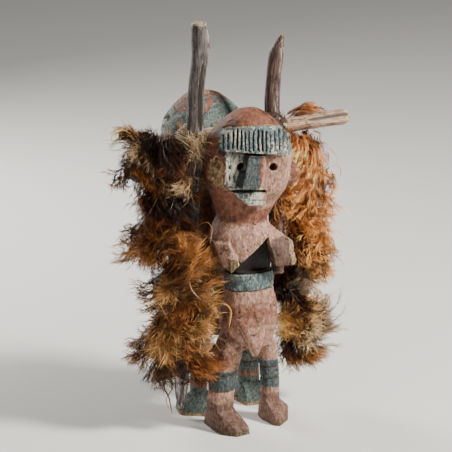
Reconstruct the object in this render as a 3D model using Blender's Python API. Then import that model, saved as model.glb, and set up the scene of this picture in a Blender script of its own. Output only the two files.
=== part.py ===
"""A pair of carved wooden ancestor figures, tied back to back with three sticks and two feather garlands.

Metres, +Z up. The front figure faces -Y, the back figure faces +Y, and the crossbar stick lies along X
between the two heads. The origin is on the ground, under the middle of the whole bundle.
"""
import math
import random

import bmesh
import bpy
from mathutils import Matrix, Vector

# Driving dimensions, in metres and radians
FRONT_FIGURE_HEIGHT = 0.378
BACK_FIGURE_HEIGHT = 0.382
BACK_FIGURE_TURN = math.radians(8)
BACK_FIGURE_SHIFT = 0.004
HEAD_SEAT_GAP = 0.0018

CROSSBAR_RADIUS = 0.0090
CROSSBAR_HEIGHT = 0.3375
CROSSBAR_RISE = 0.0050
CROSSBAR_LEFT_REACH = 0.108
CROSSBAR_RIGHT_REACH = 0.153

LEFT_STICK_RADIUS = 0.0100
LEFT_STICK_TOP = 0.474
LEFT_STICK_FOOT = 0.016
LEFT_STICK_HEAD_GAP = 0.0020
RIGHT_STICK_RADIUS = 0.0092
RIGHT_STICK_TOP = 0.451
RIGHT_STICK_FOOT = 0.170
RIGHT_STICK_HEAD_GAP = 0.0003

LASHING_WALL = 0.0080
GARLAND_LENGTH = 0.300
GARLAND_CLEARANCE_TO_GROUND = 0.024

TOUCH_GAP = 0.0003
SOFT_GAP = 0.0004
MERGE_DISTANCE = 0.00005

# Round sections and their facets
KNOBBLE = 0.06
STICK_SIDES = 8
HEAD_SIDES = 16
TORSO_SIDES = 10
LEG_SIDES = 8
STUB_SIDES = 6
EDGE_STEPS = 8
HEAD_SQUARENESS = 2.3
BODY_SQUARENESS = 2.5

# The carving of a figure, all in thousandths of its own height.
# Each row of stations is a height, a half width, a depth in front of the axis and a depth behind it.
HEAD_STATIONS = [
    (636, 80, 70, 72), (662, 75, 64, 67), (690, 85, 64, 68), (712, 96, 66, 70), (738, 109, 80, 76),
    (775, 122, 116, 82), (820, 128, 127, 84), (866, 129, 131, 84), (902, 121, 126, 80),
    (932, 104, 111, 70), (958, 82, 88, 57), (980, 57, 62, 41), (1000, 8, 9, 7),
]
TORSO_STATIONS = [
    (250, 66, 46, 58), (285, 80, 64, 68), (335, 88, 76, 72), (385, 84, 74, 70), (425, 76, 64, 60),
    (435, 75, 62, 58), (440, 71, 58, 54), (445, 76, 61, 58), (492, 76, 57, 58), (498, 70, 51, 54),
    (524, 78, 56, 60), (552, 100, 80, 70), (588, 104, 84, 76), (620, 96, 80, 74), (650, 80, 66, 70),
    (672, 72, 58, 62),
]
NECK_PIVOT = 640
WAIST_HEIGHT = 470
FRONT_HEAD_LEAN = 14
BACK_HEAD_LEAN = 56
FRONT_NECK_ASIDE = -20
BACK_NECK_ASIDE = 15
FRONT_HIPS_ASIDE = 9
FRONT_TORSO_TURN = math.radians(-8)
FRONT_HEAD_TURN = math.radians(-10)
HEAD_ROLL = math.radians(5)

FACE_PLANE = 99
FACE_TOP = 884
FACE_BOTTOM = 700
FRINGE_TOP = 956
FRONT_GROOVE_COUNT = 17
BACK_GROOVE_COUNT = 7
FRINGE_ARC = math.radians(118)
FRINGE_MIDDLE = math.radians(8)
FRINGE_LINE_STEPS = 6
GROOVE_DEPTH = 7
GROOVE_HALF_WIDTH = 4.4
PROUD = 6
EYE_HEIGHT = 840
EYE_SPACING = 50
EYE_RADIUS = 13
EYE_DEPTH = 34
EYE_SIDES = 8
NOSE_TOP = 880
NOSE_BOTTOM = 788
NOSE_REACH = 38
MOUTH_LINE = 782
MOUTH_OPENING = 6
CHIN_HEIGHT = 724
EAR_HEIGHT = 800
EAR_REACH = 158
EAR_ROOT_DEPTH = 13
EAR_HALF_DEPTH = 30

# Corners of the two arm stumps, on the figure's left and right: how far out, forward as minus, and how high
LEFT_ARM = [
    (70, -30, 656), (124, 12, 606), (138, -56, 604), (126, 12, 556), (140, -86, 530), (128, -94, 516),
    (80, -94, 520), (72, -86, 596), (60, 2, 545), (112, 8, 534),
]
RIGHT_ARM = [
    (40, -26, 634), (106, 8, 604), (110, -50, 600), (76, -86, 606), (98, -60, 526), (86, -90, 516),
    (58, -92, 536), (60, 0, 540), (92, 4, 536),
]
BELLY_HOLLOW = [
    (66, -140, 646), (-60, -140, 524), (-84, -140, 501), (70, -140, 501),
    (60, -44, 604), (-54, -56, 514), (-74, -46, 501), (62, -46, 501),
]
# The stub: a height, how far it stands forward, its half width and its half depth
STUB_STATIONS = [(356, 56, 54, 22), (318, 70, 42, 22), (278, 80, 25, 20), (238, 80, 10, 9)]
STUB_ASIDE = -8

ANKLE_SPLAY = 86
BACK_ANKLE_SPLAY = 96
HIP_SPLAY = 44
LEG_TOP = 300
RIGHT_LEG_BEND = 2.4
LEFT_LEG_BEND = 5.0
RIGHT_LEG_HALF_WIDTH = 41
LEFT_LEG_HALF_WIDTH = 30
BAND_LINE_DEPTH = 5
BAND_LINE_HALF_HEIGHT = 4
ANKLE_HEIGHT = 30
FOOT_REACH = 106
FOOT_HEEL = 50
FOOT_HALF_WIDTH = 44
INSTEP_HEIGHT = 68
TOE_THICKNESS = 22
LEFT_FOOT_EDGE_HEIGHT = 44

# The garlands' tufts, in thousandths of the garland's length: how far outside the upright stick,
# how far behind the crossbar's axis, how far below it, and the tuft's radius.
LEFT_TUFTS = [
    (250, -5, -50, 53), (170, -15, 0, 77), (200, 15, 90, 80), (80, -40, 105, 110), (85, -35, 250, 113),
    (160, 15, 370, 93), (10, -60, 445, 117), (50, 85, 340, 110), (5, -45, 600, 107), (40, -35, 725, 117),
    (125, 15, 785, 90), (45, -15, 865, 113), (25, 100, 620, 100), (-110, -15, 860, 67),
]
RIGHT_TUFTS = [
    (205, 35, -5, 73), (155, -35, 105, 93), (180, -25, 240, 103), (145, 85, 190, 100), (165, -25, 380, 100),
    (185, -5, 510, 100), (140, 75, 630, 103), (160, -15, 770, 107), (160, 20, 900, 90),
]
FEATHERS_PER_TUFT = 3
FEATHER_REACH = 1.38
FEATHER_HALF_WIDTH = 0.60
LUMPINESS = 0.09

# Frayed ends of the ties, in half sizes of the tie
LEFT_FRAYED_ENDS = [(-0.7, -1.1, 0.6), (0.1, -1.3, -0.6), (1.0, -1.2, 0.2)]
RIGHT_FRAYED_ENDS = [(0.8, -0.8, 1.0), (-0.8, -0.1, 1.0)]

# Colour and roughness of each finish
FINISHES = {
    "figure_front": ("red ochre paint on wood", (0.36, 0.16, 0.11), 0.80),
    "figure_back": ("blue and red paint on wood", (0.33, 0.20, 0.17), 0.80),
    "upright_stick_left": ("grey bark", (0.26, 0.22, 0.19), 0.85),
    "upright_stick_right": ("peeled tan stick", (0.38, 0.27, 0.19), 0.80),
    "crossbar_stick": ("peeled pinkish stick", (0.40, 0.29, 0.21), 0.80),
    "fibre_lashing_left": ("raffia", (0.52, 0.40, 0.22), 0.85),
    "fibre_lashing_right": ("crusted fibre and resin", (0.10, 0.05, 0.025), 0.90),
    "feather_garland_left": ("brown feathers", (0.30, 0.15, 0.06), 0.60),
    "feather_garland_right": ("golden feathers", (0.52, 0.30, 0.13), 0.60),
}


def clear_scene():
    """Remove what a new Blender file holds."""
    for old in list(bpy.data.objects):
        bpy.data.objects.remove(old, do_unlink=True)


def make_collection(name):
    """A collection linked to the scene."""
    collection = bpy.data.collections.new(name)
    bpy.context.scene.collection.children.link(collection)
    return collection


def make_material(name, colour, roughness):
    """A plain Principled material for one kind of surface."""
    material = bpy.data.materials.new(name)
    material.use_nodes = True
    shader = material.node_tree.nodes["Principled BSDF"]
    shader.inputs["Base Color"].default_value = (*colour, 1.0)
    shader.inputs["Roughness"].default_value = roughness
    shader.inputs["Metallic"].default_value = 0.0
    return material


def object_from(name, body, collection):
    """An object that holds a finished bmesh, with every face pointing outwards."""
    bmesh.ops.recalc_face_normals(body, faces=body.faces)
    mesh = bpy.data.meshes.new(name)
    body.to_mesh(mesh)
    body.free()
    made = bpy.data.objects.new(name, mesh)
    collection.objects.link(made)
    return made


def helper(name, body, helpers):
    """A shape that only cuts or joins another, hidden from renders."""
    made = object_from(name, body, helpers)
    made.hide_render = True
    made.display_type = "WIRE"
    return made


def combine(target, others, operation):
    """Stack one exact Boolean for each helper on the target."""
    for other in others:
        step = target.modifiers.new(f"{operation.title()} {other.name}", "BOOLEAN")
        step.operation = operation
        step.solver = "EXACT"
        step.object = other


def loft(rings):
    """A closed body through rings that each have the same number of points, with flat ends."""
    body = bmesh.new()
    loops = [[body.verts.new(point) for point in ring] for ring in rings]
    count = len(loops[0])
    for low, high in zip(loops, loops[1:]):
        for step in range(count):
            after = (step + 1) % count
            body.faces.new((low[step], low[after], high[after], high[step]))
    body.faces.new(loops[0])
    body.faces.new(loops[-1])
    bmesh.ops.triangulate(body, faces=body.faces)
    return body


def hull(points):
    """The convex body round a few corner points, for planes cut with a knife."""
    body = bmesh.new()
    corners = [body.verts.new(point) for point in points]
    made = bmesh.ops.convex_hull(body, input=corners)
    inside = [item for item in made["geom_interior"] if isinstance(item, bmesh.types.BMVert)]
    bmesh.ops.delete(body, geom=inside, context="VERTS")
    return body


def moved(body, matrix):
    """The body after a transform."""
    bmesh.ops.transform(body, matrix=matrix, verts=body.verts)
    return body


def oval_point(angle, half_width, front, back, squareness):
    """A point of a squarish oval with its own depth in front (-Y) and behind, at an angle from +X."""
    across, along = math.cos(angle), math.sin(angle)
    reach = (abs(across) ** squareness + abs(along) ** squareness) ** (-1 / squareness)
    depth = back if along > 0 else front
    return Vector((half_width * across * reach, depth * along * reach, 0))


def oval_ring(height, half_width, front, back, sides, squareness):
    """A level ring of such points round the upright axis."""
    angles = [math.tau * (step + 0.5) / sides for step in range(sides)]
    up = Vector((0, 0, height))
    return [oval_point(angle, half_width, front, back, squareness) + up for angle in angles]


def blended(stations, height):
    """The half width, front and back of a station table at any height between its rows."""
    for low, high in zip(stations, stations[1:]):
        if height <= high[0]:
            share = max((height - low[0]) / (high[0] - low[0]), 0.0)
            return [a + (b - a) * share for a, b in zip(low[1:], high[1:])]
    return stations[-1][1:]


def head_depth_behind(figure_height):
    """How deep the head is behind its axis, over the heights that the crossbar covers."""
    heights = [CROSSBAR_HEIGHT - CROSSBAR_RADIUS, CROSSBAR_HEIGHT, CROSSBAR_HEIGHT + CROSSBAR_RADIUS]
    depths = [blended(HEAD_STATIONS, height / figure_height * 1000)[2] for height in heights]
    return max(depths) * figure_height / 1000


def figure_y(figure_height, lean, facing):
    """Where a figure stands, so that the back of its leaning head rests on the crossbar."""
    to_bar = CROSSBAR_RADIUS * (1 + KNOBBLE) + HEAD_SEAT_GAP + head_depth_behind(figure_height)
    return facing * (to_bar - lean * figure_height / 1000)


def stick_y(radius):
    """An upright of that radius stands just in front of the crossbar and touches it."""
    return -(CROSSBAR_RADIUS + radius) * (1 + KNOBBLE) - TOUCH_GAP


def head_frame(spec):
    """From the head's own upright frame to the figure's: it leans forward, turns and rolls on the neck."""
    pivot = Vector((0, 0, NECK_PIVOT))
    return (
        Matrix.Translation(pivot + Vector((spec["aside"], -spec["lean"], 0)))
        @ Matrix.Rotation(spec["head_turn"], 4, "Z")
        @ Matrix.Rotation(HEAD_ROLL, 4, "Y")
        @ Matrix.Translation(-pivot)
    )


def beside_head(side, radius, gap):
    """How far to the side an upright of that radius stands when it just clears the front head."""
    spec, _ = figure_specs()
    frame = spec["place"] @ Matrix.Scale(FRONT_FIGURE_HEIGHT / 1000, 4) @ head_frame(spec)
    reach = radius * (1 + KNOBBLE) + gap
    furthest = 0.0
    for station in HEAD_STATIONS:
        ring = [frame @ point for point in oval_ring(*station, HEAD_SIDES, HEAD_SQUARENESS)]
        for start, end in zip(ring, ring[1:] + ring[:1]):
            for step in range(EDGE_STEPS):
                point = start.lerp(end, step / EDGE_STEPS)
                behind = min(abs(point.y - stick_y(radius)), reach)
                if behind < reach:
                    furthest = max(furthest, side * point.x + math.sqrt(reach ** 2 - behind ** 2))
    return side * furthest


def left_stick_x():
    """The left upright's place beside the front head."""
    return beside_head(-1, LEFT_STICK_RADIUS, LEFT_STICK_HEAD_GAP)


def right_stick_x():
    """The right upright's place, tucked in behind the front head."""
    return beside_head(1, RIGHT_STICK_RADIUS, RIGHT_STICK_HEAD_GAP)


def torso_point(point, spec):
    """A point of the upright torso after its twist and its lean, which grow from the hips to the neck.

    It leans aside from the waist up."""
    share = min(max((point[2] - LEG_TOP) / (NECK_PIVOT - LEG_TOP), 0.0), 1.0)
    turn = Matrix.Rotation(spec["torso_turn"] * share, 3, "Z")
    above = min(max((point[2] - WAIST_HEIGHT) / (NECK_PIVOT - WAIST_HEIGHT), 0.0), 1.0)
    aside = spec["hips_aside"] * (1 - above) + spec["aside"] * above
    return turn @ Vector(point) + Vector((aside, -spec["lean"] * share, 0))


def torso_body(spec):
    """Trunk from the crotch to the neck, with the lines incised above and below the waist band."""
    rings = []
    for station in TORSO_STATIONS:
        ring = oval_ring(*station, TORSO_SIDES, BODY_SQUARENESS)
        rings.append([torso_point(point, spec) for point in ring])
    return loft(rings)


def arm_body(side, spec):
    """An arm stump cut off before the hand: a flat-sided block, from the shoulder forward and down."""
    corners = LEFT_ARM if side > 0 else RIGHT_ARM
    return hull([torso_point((side * out, y, z), spec) for out, y, z in corners])


def belly_hollow_cutter(spec):
    """The hollow between the arm stumps, where the belly lies further back than the chest."""
    return hull([torso_point(corner, spec) for corner in BELLY_HOLLOW])


def leg_centre(side, height, spec):
    """The middle of a leg at a height: it splays outwards on the way down, the left one sooner."""
    share = min(height / LEG_TOP, 1.0)
    bend = LEFT_LEG_BEND if side > 0 else RIGHT_LEG_BEND
    splay = spec["splay"] - (spec["splay"] - HIP_SPLAY) * share ** bend
    return Vector((side * splay, 0, height))


def leg_half_width(side):
    """The carver made the right leg thicker than the left."""
    return LEFT_LEG_HALF_WIDTH if side > 0 else RIGHT_LEG_HALF_WIDTH


def leg_body(side, spec):
    """A leg with the painted band's incised lines as shallow notches."""
    half = leg_half_width(side)
    lines = spec["left_band_lines"] if side > 0 else spec["right_band_lines"]
    stations = [(ANKLE_HEIGHT, 1.0), (80, 0.96), (205, 1.02), (262, 0.98), (LEG_TOP + 10, 0.80)]
    for line in lines:
        notch = 1.0 - BAND_LINE_DEPTH / half
        stations += [(line - BAND_LINE_HALF_HEIGHT, 1.0), (line, notch), (line + BAND_LINE_HALF_HEIGHT, 1.01)]
    rings = []
    for height, share in sorted(stations):
        reach = half * share
        ring = oval_ring(0, reach, reach, reach * 0.92, LEG_SIDES, BODY_SQUARENESS)
        centre = leg_centre(side, height, spec)
        rings.append([centre + point for point in ring])
    return loft(rings)


def sole_outline(side):
    """The corners of a flat sole round the ankle: a blunt wedge on the right, a blunt diamond on the left."""
    wide, toe, heel = FOOT_HALF_WIDTH, -FOOT_REACH, FOOT_HEEL
    if side < 0:
        return [
            (-0.62 * wide, heel), (0.62 * wide, heel), (-0.86 * wide, 0.28 * toe), (1.05 * wide, 0.28 * toe),
            (-0.62 * wide, 0.72 * toe), (-0.09 * wide, toe), (1.05 * wide, 0.97 * toe),
        ]
    return [
        (-0.50 * wide, 0.8 * heel), (0.60 * wide, 0.8 * heel), (-0.66 * wide, 0.10 * toe),
        (1.10 * wide, 0.18 * toe), (1.05 * wide, 0.38 * toe), (0.05 * wide, 0.78 * toe),
        (-0.28 * wide, 0.72 * toe),
    ]


def foot_body(side, spec):
    """A wedge-shaped foot with a flat sole, a sloping instep and a blunt toe edge."""
    ankle = leg_centre(side, 0, spec)
    sole = sole_outline(side)
    points = [Vector((x, y, 0)) for x, y in sole]
    points += [Vector((x * 0.94, y * 0.97, TOE_THICKNESS)) for x, y in sole]
    if side > 0:
        points += [Vector((x, y * 0.9, LEFT_FOOT_EDGE_HEIGHT)) for x, y in sole if x > FOOT_HALF_WIDTH]
    shin = leg_half_width(side) * 0.75
    points += [Vector((x * shin, y * shin, INSTEP_HEIGHT)) for x, y in ((-1, -1), (1, -1), (1, 1), (-1, 1))]
    turn = Matrix.Rotation(spec["left_foot_turn"] if side > 0 else spec["right_foot_turn"], 3, "Z")
    return hull([ankle + turn @ point for point in points])


def nose_body():
    """A straight wedge of a nose with a flat underside: a wide base on the face and a narrower front."""
    base = -(FACE_PLANE - 12)
    top_front, bottom_front = -(FACE_PLANE + NOSE_REACH / 2), -(FACE_PLANE + NOSE_REACH)
    corners = (
        (-40, base, NOSE_TOP), (40, base, NOSE_TOP), (-24, top_front, NOSE_TOP), (26, top_front, NOSE_TOP),
        (-66, base, NOSE_BOTTOM), (36, base, NOSE_BOTTOM), (-42, bottom_front, NOSE_BOTTOM),
        (12, bottom_front, NOSE_BOTTOM),
    )
    return hull([Vector(corner) for corner in corners])


def chin_body():
    """The flat mouth and chin plate, wide at the mouth line and tapering to the chin."""
    front, deep = -(FACE_PLANE + 1), -40
    corners = (
        (-76, front, MOUTH_LINE - 2), (42, front, MOUTH_LINE - 2),
        (-12, front + 4, CHIN_HEIGHT), (40, front + 4, CHIN_HEIGHT),
        (-88, deep, MOUTH_LINE + 8), (56, deep, MOUTH_LINE + 8),
        (-22, deep, CHIN_HEIGHT - 4), (50, deep, CHIN_HEIGHT - 4),
    )
    return hull([Vector(corner) for corner in corners])


def ear_body():
    """The ear that is left: a low upright bump at the side of the head, rooted inside the skull."""
    root = blended(HEAD_STATIONS, EAR_HEIGHT)[0] - EAR_ROOT_DEPTH
    points = []
    for rise, inset, share in ((-42, 24, 0.5), (-14, 4, 1.0), (20, 0, 1.0), (44, 16, 0.6)):
        for sign in (-1, 1):
            along = sign * EAR_HALF_DEPTH * share
            points.append(Vector((EAR_REACH - inset, along, EAR_HEIGHT + rise)))
            points.append(Vector((root, along * 1.3, EAR_HEIGHT + rise)))
    return hull(points)


def belly_facet_body():
    """The raised facet in a V on the belly."""
    corners = (
        (-34, -40, 436), (40, -40, 436), (-24, -80, 420), (30, -80, 420),
        (2, -98, 345), (-30, -44, 330), (34, -44, 330),
    )
    return hull([Vector(corner) for corner in corners])


def stub_body():
    """The wedge below the belly facet, as wide as the hips above and tapered to a stub."""
    points = []
    for height, forward, half, deep in STUB_STATIONS:
        ring = oval_ring(height, half, deep, deep, STUB_SIDES, 2.0)
        points += [point + Vector((STUB_ASIDE, -forward, 0)) for point in ring]
    return hull(points)


def face_cutter():
    """Cuts the flat face plane, and so leaves the fringe as an overhanging ledge."""
    body = bmesh.new()
    bmesh.ops.create_cube(body, size=1.0)
    widest = 2 * max(station[1] for station in HEAD_STATIONS)
    deepest = max(station[2] for station in HEAD_STATIONS) + PROUD
    size = (widest, deepest - FACE_PLANE, FACE_TOP - FACE_BOTTOM)
    centre = Vector((0, -(FACE_PLANE + deepest) / 2, (FACE_TOP + FACE_BOTTOM) / 2))
    return moved(body, Matrix.Translation(centre) @ Matrix.Diagonal((*size, 1.0)))


def eye_cutter(side):
    """A drilled eye."""
    body = bmesh.new()
    bmesh.ops.create_cone(
        body, cap_ends=True, segments=EYE_SIDES, radius1=EYE_RADIUS, radius2=EYE_RADIUS, depth=2 * EYE_DEPTH
    )
    place = Matrix.Translation((side * EYE_SPACING, -FACE_PLANE, EYE_HEIGHT))
    return moved(body, place @ Matrix.Rotation(math.radians(90), 4, "X"))


def mouth_cutter():
    """The knife cut between the face and the mouth plate."""
    points = []
    for x, opening in ((-84, MOUTH_OPENING / 2), (50, MOUTH_OPENING)):
        for y, share in ((-(FACE_PLANE + 5 * PROUD), 1.0), (-(FACE_PLANE - 2 * PROUD), 0.2)):
            for sign in (-1, 1):
                points.append(Vector((x, y, MOUTH_LINE + sign * opening * share)))
    return hull(points)


def brow_point(angle, height):
    """A point on the brow, at an angle from straight ahead, and the level direction out of it."""
    half_width, front, back = blended(HEAD_STATIONS, height)
    surface = oval_point(angle - math.pi / 2, half_width, front, back, HEAD_SQUARENESS)
    return surface + Vector((0, 0, height)), surface.normalized()


def groove_cutter(angle):
    """One upright groove of the hair fringe, a wedge that follows the brow."""
    points = []
    for height in (FACE_TOP - 2 * PROUD, FACE_TOP + 2 * PROUD, FRINGE_TOP - 2 * PROUD):
        surface, outward = brow_point(angle, height)
        sideways = Vector((-outward.y, outward.x, 0))
        points.append(surface - outward * GROOVE_DEPTH)
        for sign in (-1, 1):
            points.append(surface + outward * PROUD + sideways * sign * GROOVE_HALF_WIDTH)
    return hull(points)


def fringe_line_cutter():
    """The incised line over the fringe: a thin wedge bent round the brow."""
    rings = []
    up = Vector((0, 0, PROUD))
    for step in range(FRINGE_LINE_STEPS + 1):
        angle = FRINGE_ARC * (step / FRINGE_LINE_STEPS - 0.5) + FRINGE_MIDDLE
        surface, outward = brow_point(angle, FRINGE_TOP)
        proud = surface + outward * PROUD
        rings.append([proud + up, proud - up, surface - outward * PROUD])
    return loft(rings)


def carved_head(name, frame, grooves, helpers):
    """Skull and neck in one, with the face plane, nose, ear, mouth plate, drilled eyes and fringe."""
    rings = [oval_ring(*station, HEAD_SIDES, HEAD_SQUARENESS) for station in HEAD_STATIONS]
    skull = helper(f"{name} head", moved(loft(rings), frame), helpers)
    combine(skull, [helper(f"{name} face plane", moved(face_cutter(), frame), helpers)], "DIFFERENCE")
    added = {"chin": chin_body(), "nose": nose_body(), "ear": ear_body()}
    joined = [helper(f"{name} {label}", moved(body, frame), helpers) for label, body in added.items()]
    combine(skull, joined, "UNION")
    bodies = [eye_cutter(-1), eye_cutter(1), mouth_cutter(), fringe_line_cutter()]
    for step in range(grooves):
        bodies.append(groove_cutter(FRINGE_ARC * (step / (grooves - 1) - 0.5) + FRINGE_MIDDLE))
    cuts = [helper(f"{name} cut {step}", moved(body, frame), helpers) for step, body in enumerate(bodies)]
    combine(skull, cuts, "DIFFERENCE")
    return skull


def carved_figure(name, height, spec, parts, helpers):
    """One figure, carved from one piece of wood, standing where its spec places it."""
    place = spec["place"] @ Matrix.Scale(height / 1000, 4)
    figure = object_from(name, moved(torso_body(spec), place), parts)
    if spec["belly_facet"]:
        hollow = helper(f"{name} belly hollow", moved(belly_hollow_cutter(spec), place), helpers)
        combine(figure, [hollow], "DIFFERENCE")
    bodies = {}
    for side, label in ((-1, "right"), (1, "left")):
        bodies[f"{label} leg"] = leg_body(side, spec)
        bodies[f"{label} foot"] = foot_body(side, spec)
        bodies[f"{label} arm"] = arm_body(side, spec)
    if spec["belly_facet"]:
        bodies["belly facet"] = belly_facet_body()
        bodies["stub"] = stub_body()
    joined = [helper(f"{name} {label}", moved(body, place), helpers) for label, body in bodies.items()]
    joined.append(carved_head(name, place @ head_frame(spec), spec["grooves"], helpers))
    combine(figure, joined, "UNION")
    return figure


def figure_specs():
    """What differs between the two figures: place, turn, stance and how finely they are cut."""
    front = {
        "place": Matrix.Translation((0, figure_y(FRONT_FIGURE_HEIGHT, FRONT_HEAD_LEAN, -1), 0)),
        "lean": FRONT_HEAD_LEAN, "torso_turn": FRONT_TORSO_TURN, "head_turn": FRONT_HEAD_TURN,
        "splay": ANKLE_SPLAY, "left_foot_turn": math.radians(-6), "right_foot_turn": math.radians(4),
        "left_band_lines": (138, 174), "right_band_lines": (124, 174),
        "aside": FRONT_NECK_ASIDE, "hips_aside": FRONT_HIPS_ASIDE,
        "belly_facet": True, "grooves": FRONT_GROOVE_COUNT,
    }
    back_place = Matrix.Translation((BACK_FIGURE_SHIFT, figure_y(BACK_FIGURE_HEIGHT, BACK_HEAD_LEAN, 1), 0))
    back = {
        "place": back_place @ Matrix.Rotation(math.pi + BACK_FIGURE_TURN, 4, "Z"),
        "lean": BACK_HEAD_LEAN, "torso_turn": 0.0, "head_turn": 0.0,
        "splay": BACK_ANKLE_SPLAY, "left_foot_turn": math.radians(24), "right_foot_turn": math.radians(-16),
        "left_band_lines": (138, 170), "right_band_lines": (138, 170),
        "aside": BACK_NECK_ASIDE, "hips_aside": 0, "belly_facet": False, "grooves": BACK_GROOVE_COUNT,
    }
    return front, back


def stick_body(path, radii):
    """A rough stick: slightly knobbly rings along a path of points."""
    rings = []
    for step, (point, radius) in enumerate(zip(path, radii)):
        before = path[max(step - 1, 0)]
        after = path[min(step + 1, len(path) - 1)]
        along = (after - before).normalized()
        across = along.cross(Vector((0, 1, 0))).normalized()
        third = along.cross(across)
        ring = []
        for corner in range(STICK_SIDES):
            angle = math.tau * corner / STICK_SIDES
            reach = radius * (1 + KNOBBLE * math.sin(3 * angle + 1.7 * step))
            ring.append(point + (across * math.cos(angle) + third * math.sin(angle)) * reach)
        rings.append(ring)
    return loft(rings)


def upright_stick(name, x, reach, radius, stations, parts):
    """An upright stick through stations of: share of its length, lean to the side, lean back, swell.

    The leans are shares of its length too."""
    foot, top = reach
    length = top - foot
    path = []
    for share, aside, back, _ in stations:
        path.append(Vector((x + aside * length, stick_y(radius) + back * length, foot + share * length)))
    return object_from(name, stick_body(path, [radius * swell for *_, swell in stations]), parts)


def left_stick(parts):
    """The tall stick: its foot leans back, with a bend, a knot near the top and a bevelled end."""
    stations = [
        (0.000, -0.019, 0.044, 0.30), (0.040, -0.020, 0.040, 0.72), (0.096, -0.020, 0.036, 0.88),
        (0.290, -0.017, 0.024, 0.94), (0.510, -0.007, 0.009, 0.96), (0.680, 0.000, 0.000, 0.98),
        (0.795, 0.002, 0.000, 0.98), (0.865, 0.009, 0.000, 1.00), (0.920, 0.017, 0.000, 1.03),
        (0.952, 0.0175, 0.000, 1.10), (1.000, 0.013, 0.000, 0.88),
    ]
    reach = (LEFT_STICK_FOOT, LEFT_STICK_TOP)
    return upright_stick("upright_stick_left", left_stick_x(), reach, LEFT_STICK_RADIUS, stations, parts)


def right_stick(parts):
    """The shorter stick: it leans outwards and ends in a whittled point."""
    stations = [
        (0.000, 0.028, 0.0, 0.80), (0.210, 0.018, 0.0, 0.92), (0.430, 0.005, 0.0, 0.96),
        (0.600, 0.000, 0.0, 0.98), (0.720, -0.002, 0.0, 0.98), (0.830, 0.004, 0.0, 0.97),
        (0.925, 0.016, 0.0, 0.95), (0.965, 0.028, 0.0, 0.62), (1.000, 0.043, 0.0, 0.18),
    ]
    reach = (RIGHT_STICK_FOOT, RIGHT_STICK_TOP)
    return upright_stick("upright_stick_right", right_stick_x(), reach, RIGHT_STICK_RADIUS, stations, parts)


def crossbar_lift(x):
    """The crossbar's axis rises a little from left to right."""
    return CROSSBAR_HEIGHT + CROSSBAR_RISE * x / (CROSSBAR_LEFT_REACH + CROSSBAR_RIGHT_REACH)


def crossbar(parts):
    """The level stick between the two heads."""
    stations = [
        (0.00, 0.62), (0.03, 0.94), (0.20, 0.98), (0.40, 1.00),
        (0.60, 0.97), (0.80, 1.00), (0.93, 1.00), (1.00, 0.80),
    ]
    length = CROSSBAR_LEFT_REACH + CROSSBAR_RIGHT_REACH
    path = []
    for share, _ in stations:
        x = -CROSSBAR_LEFT_REACH + length * share
        path.append(Vector((x, 0, crossbar_lift(x))))
    radii = [CROSSBAR_RADIUS * swell for _, swell in stations]
    return object_from("crossbar_stick", stick_body(path, radii), parts)


def lump_body(centre, half_sizes, seed):
    """An uneven rounded lump with twenty faces or so."""
    ball = bmesh.new()
    bmesh.ops.create_icosphere(ball, subdivisions=1, radius=1.0)
    shake = random.Random(seed)
    points = [vert.co * shake.uniform(1 - LUMPINESS, 1 + LUMPINESS) for vert in ball.verts]
    ball.free()
    return moved(hull(points), Matrix.Translation(centre) @ Matrix.Diagonal((*half_sizes, 1.0)))


def feather_body(root, tip, half_width):
    """One broad feather, or a clump of barbs, as a flat pointed wedge from its root to its tip."""
    along = (tip - root).normalized()
    across = along.cross(Vector((0.2, 1.0, 0.3))).normalized()
    face = along.cross(across)
    middle = root.lerp(tip, 0.58)
    points = [tip]
    points += [root + across * side * half_width * 0.6 for side in (-1, 1)]
    points += [middle + across * side * half_width for side in (-1, 1)]
    points += [middle + face * side * half_width * 0.34 for side in (-1, 1)]
    return hull(points)


def feather_tips(centre, radius, outward, shake):
    """Where a tuft's feathers point: all round it in golden-angle steps, except in at the figures."""
    tips = []
    golden_angle = math.pi * (3 - math.sqrt(5))
    golden_share = (math.sqrt(5) - 1) / 2
    step = 0
    while len(tips) < FEATHERS_PER_TUFT:
        rise = 0.75 - 1.6 * ((step * golden_share + 0.31) % 1.0)
        level = math.sqrt(1 - rise * rise)
        angle = golden_angle * step + shake.uniform(-0.3, 0.3)
        way = Vector((level * math.cos(angle), level * math.sin(angle), rise))
        step += 1
        if way.x * outward > -0.35:
            tip = centre + way * radius * FEATHER_REACH * shake.uniform(0.86, 1.08)
            tip.z = max(tip.z, GARLAND_CLEARANCE_TO_GROUND)
            tips.append(tip)
    return tips


def garland(name, tufts, stick_x, seed, parts, helpers):
    """A hanging garland: lumpy tufts, each with a few broad feathers, joined into one body."""
    shake = random.Random(seed)
    outward = math.copysign(1, stick_x)
    unit = GARLAND_LENGTH / 1000
    joined = []
    for number, (out, behind, below, size) in enumerate(tufts):
        centre = Vector((stick_x + outward * out * unit, behind * unit, CROSSBAR_HEIGHT - below * unit))
        radius = size * unit
        lump = lump_body(centre, (radius, radius, radius), seed + number)
        joined.append(helper(f"{name} tuft {number}", lump, helpers))
        for step, tip in enumerate(feather_tips(centre, radius, outward, shake)):
            body = feather_body(centre.lerp(tip, 0.3), tip, radius * FEATHER_HALF_WIDTH)
            joined.append(helper(f"{name} feather {number} {step}", body, helpers))
    whole = bpy.data.objects.new(name, joined[0].data.copy())
    parts.objects.link(whole)
    combine(whole, joined[1:], "UNION")
    return whole


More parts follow.
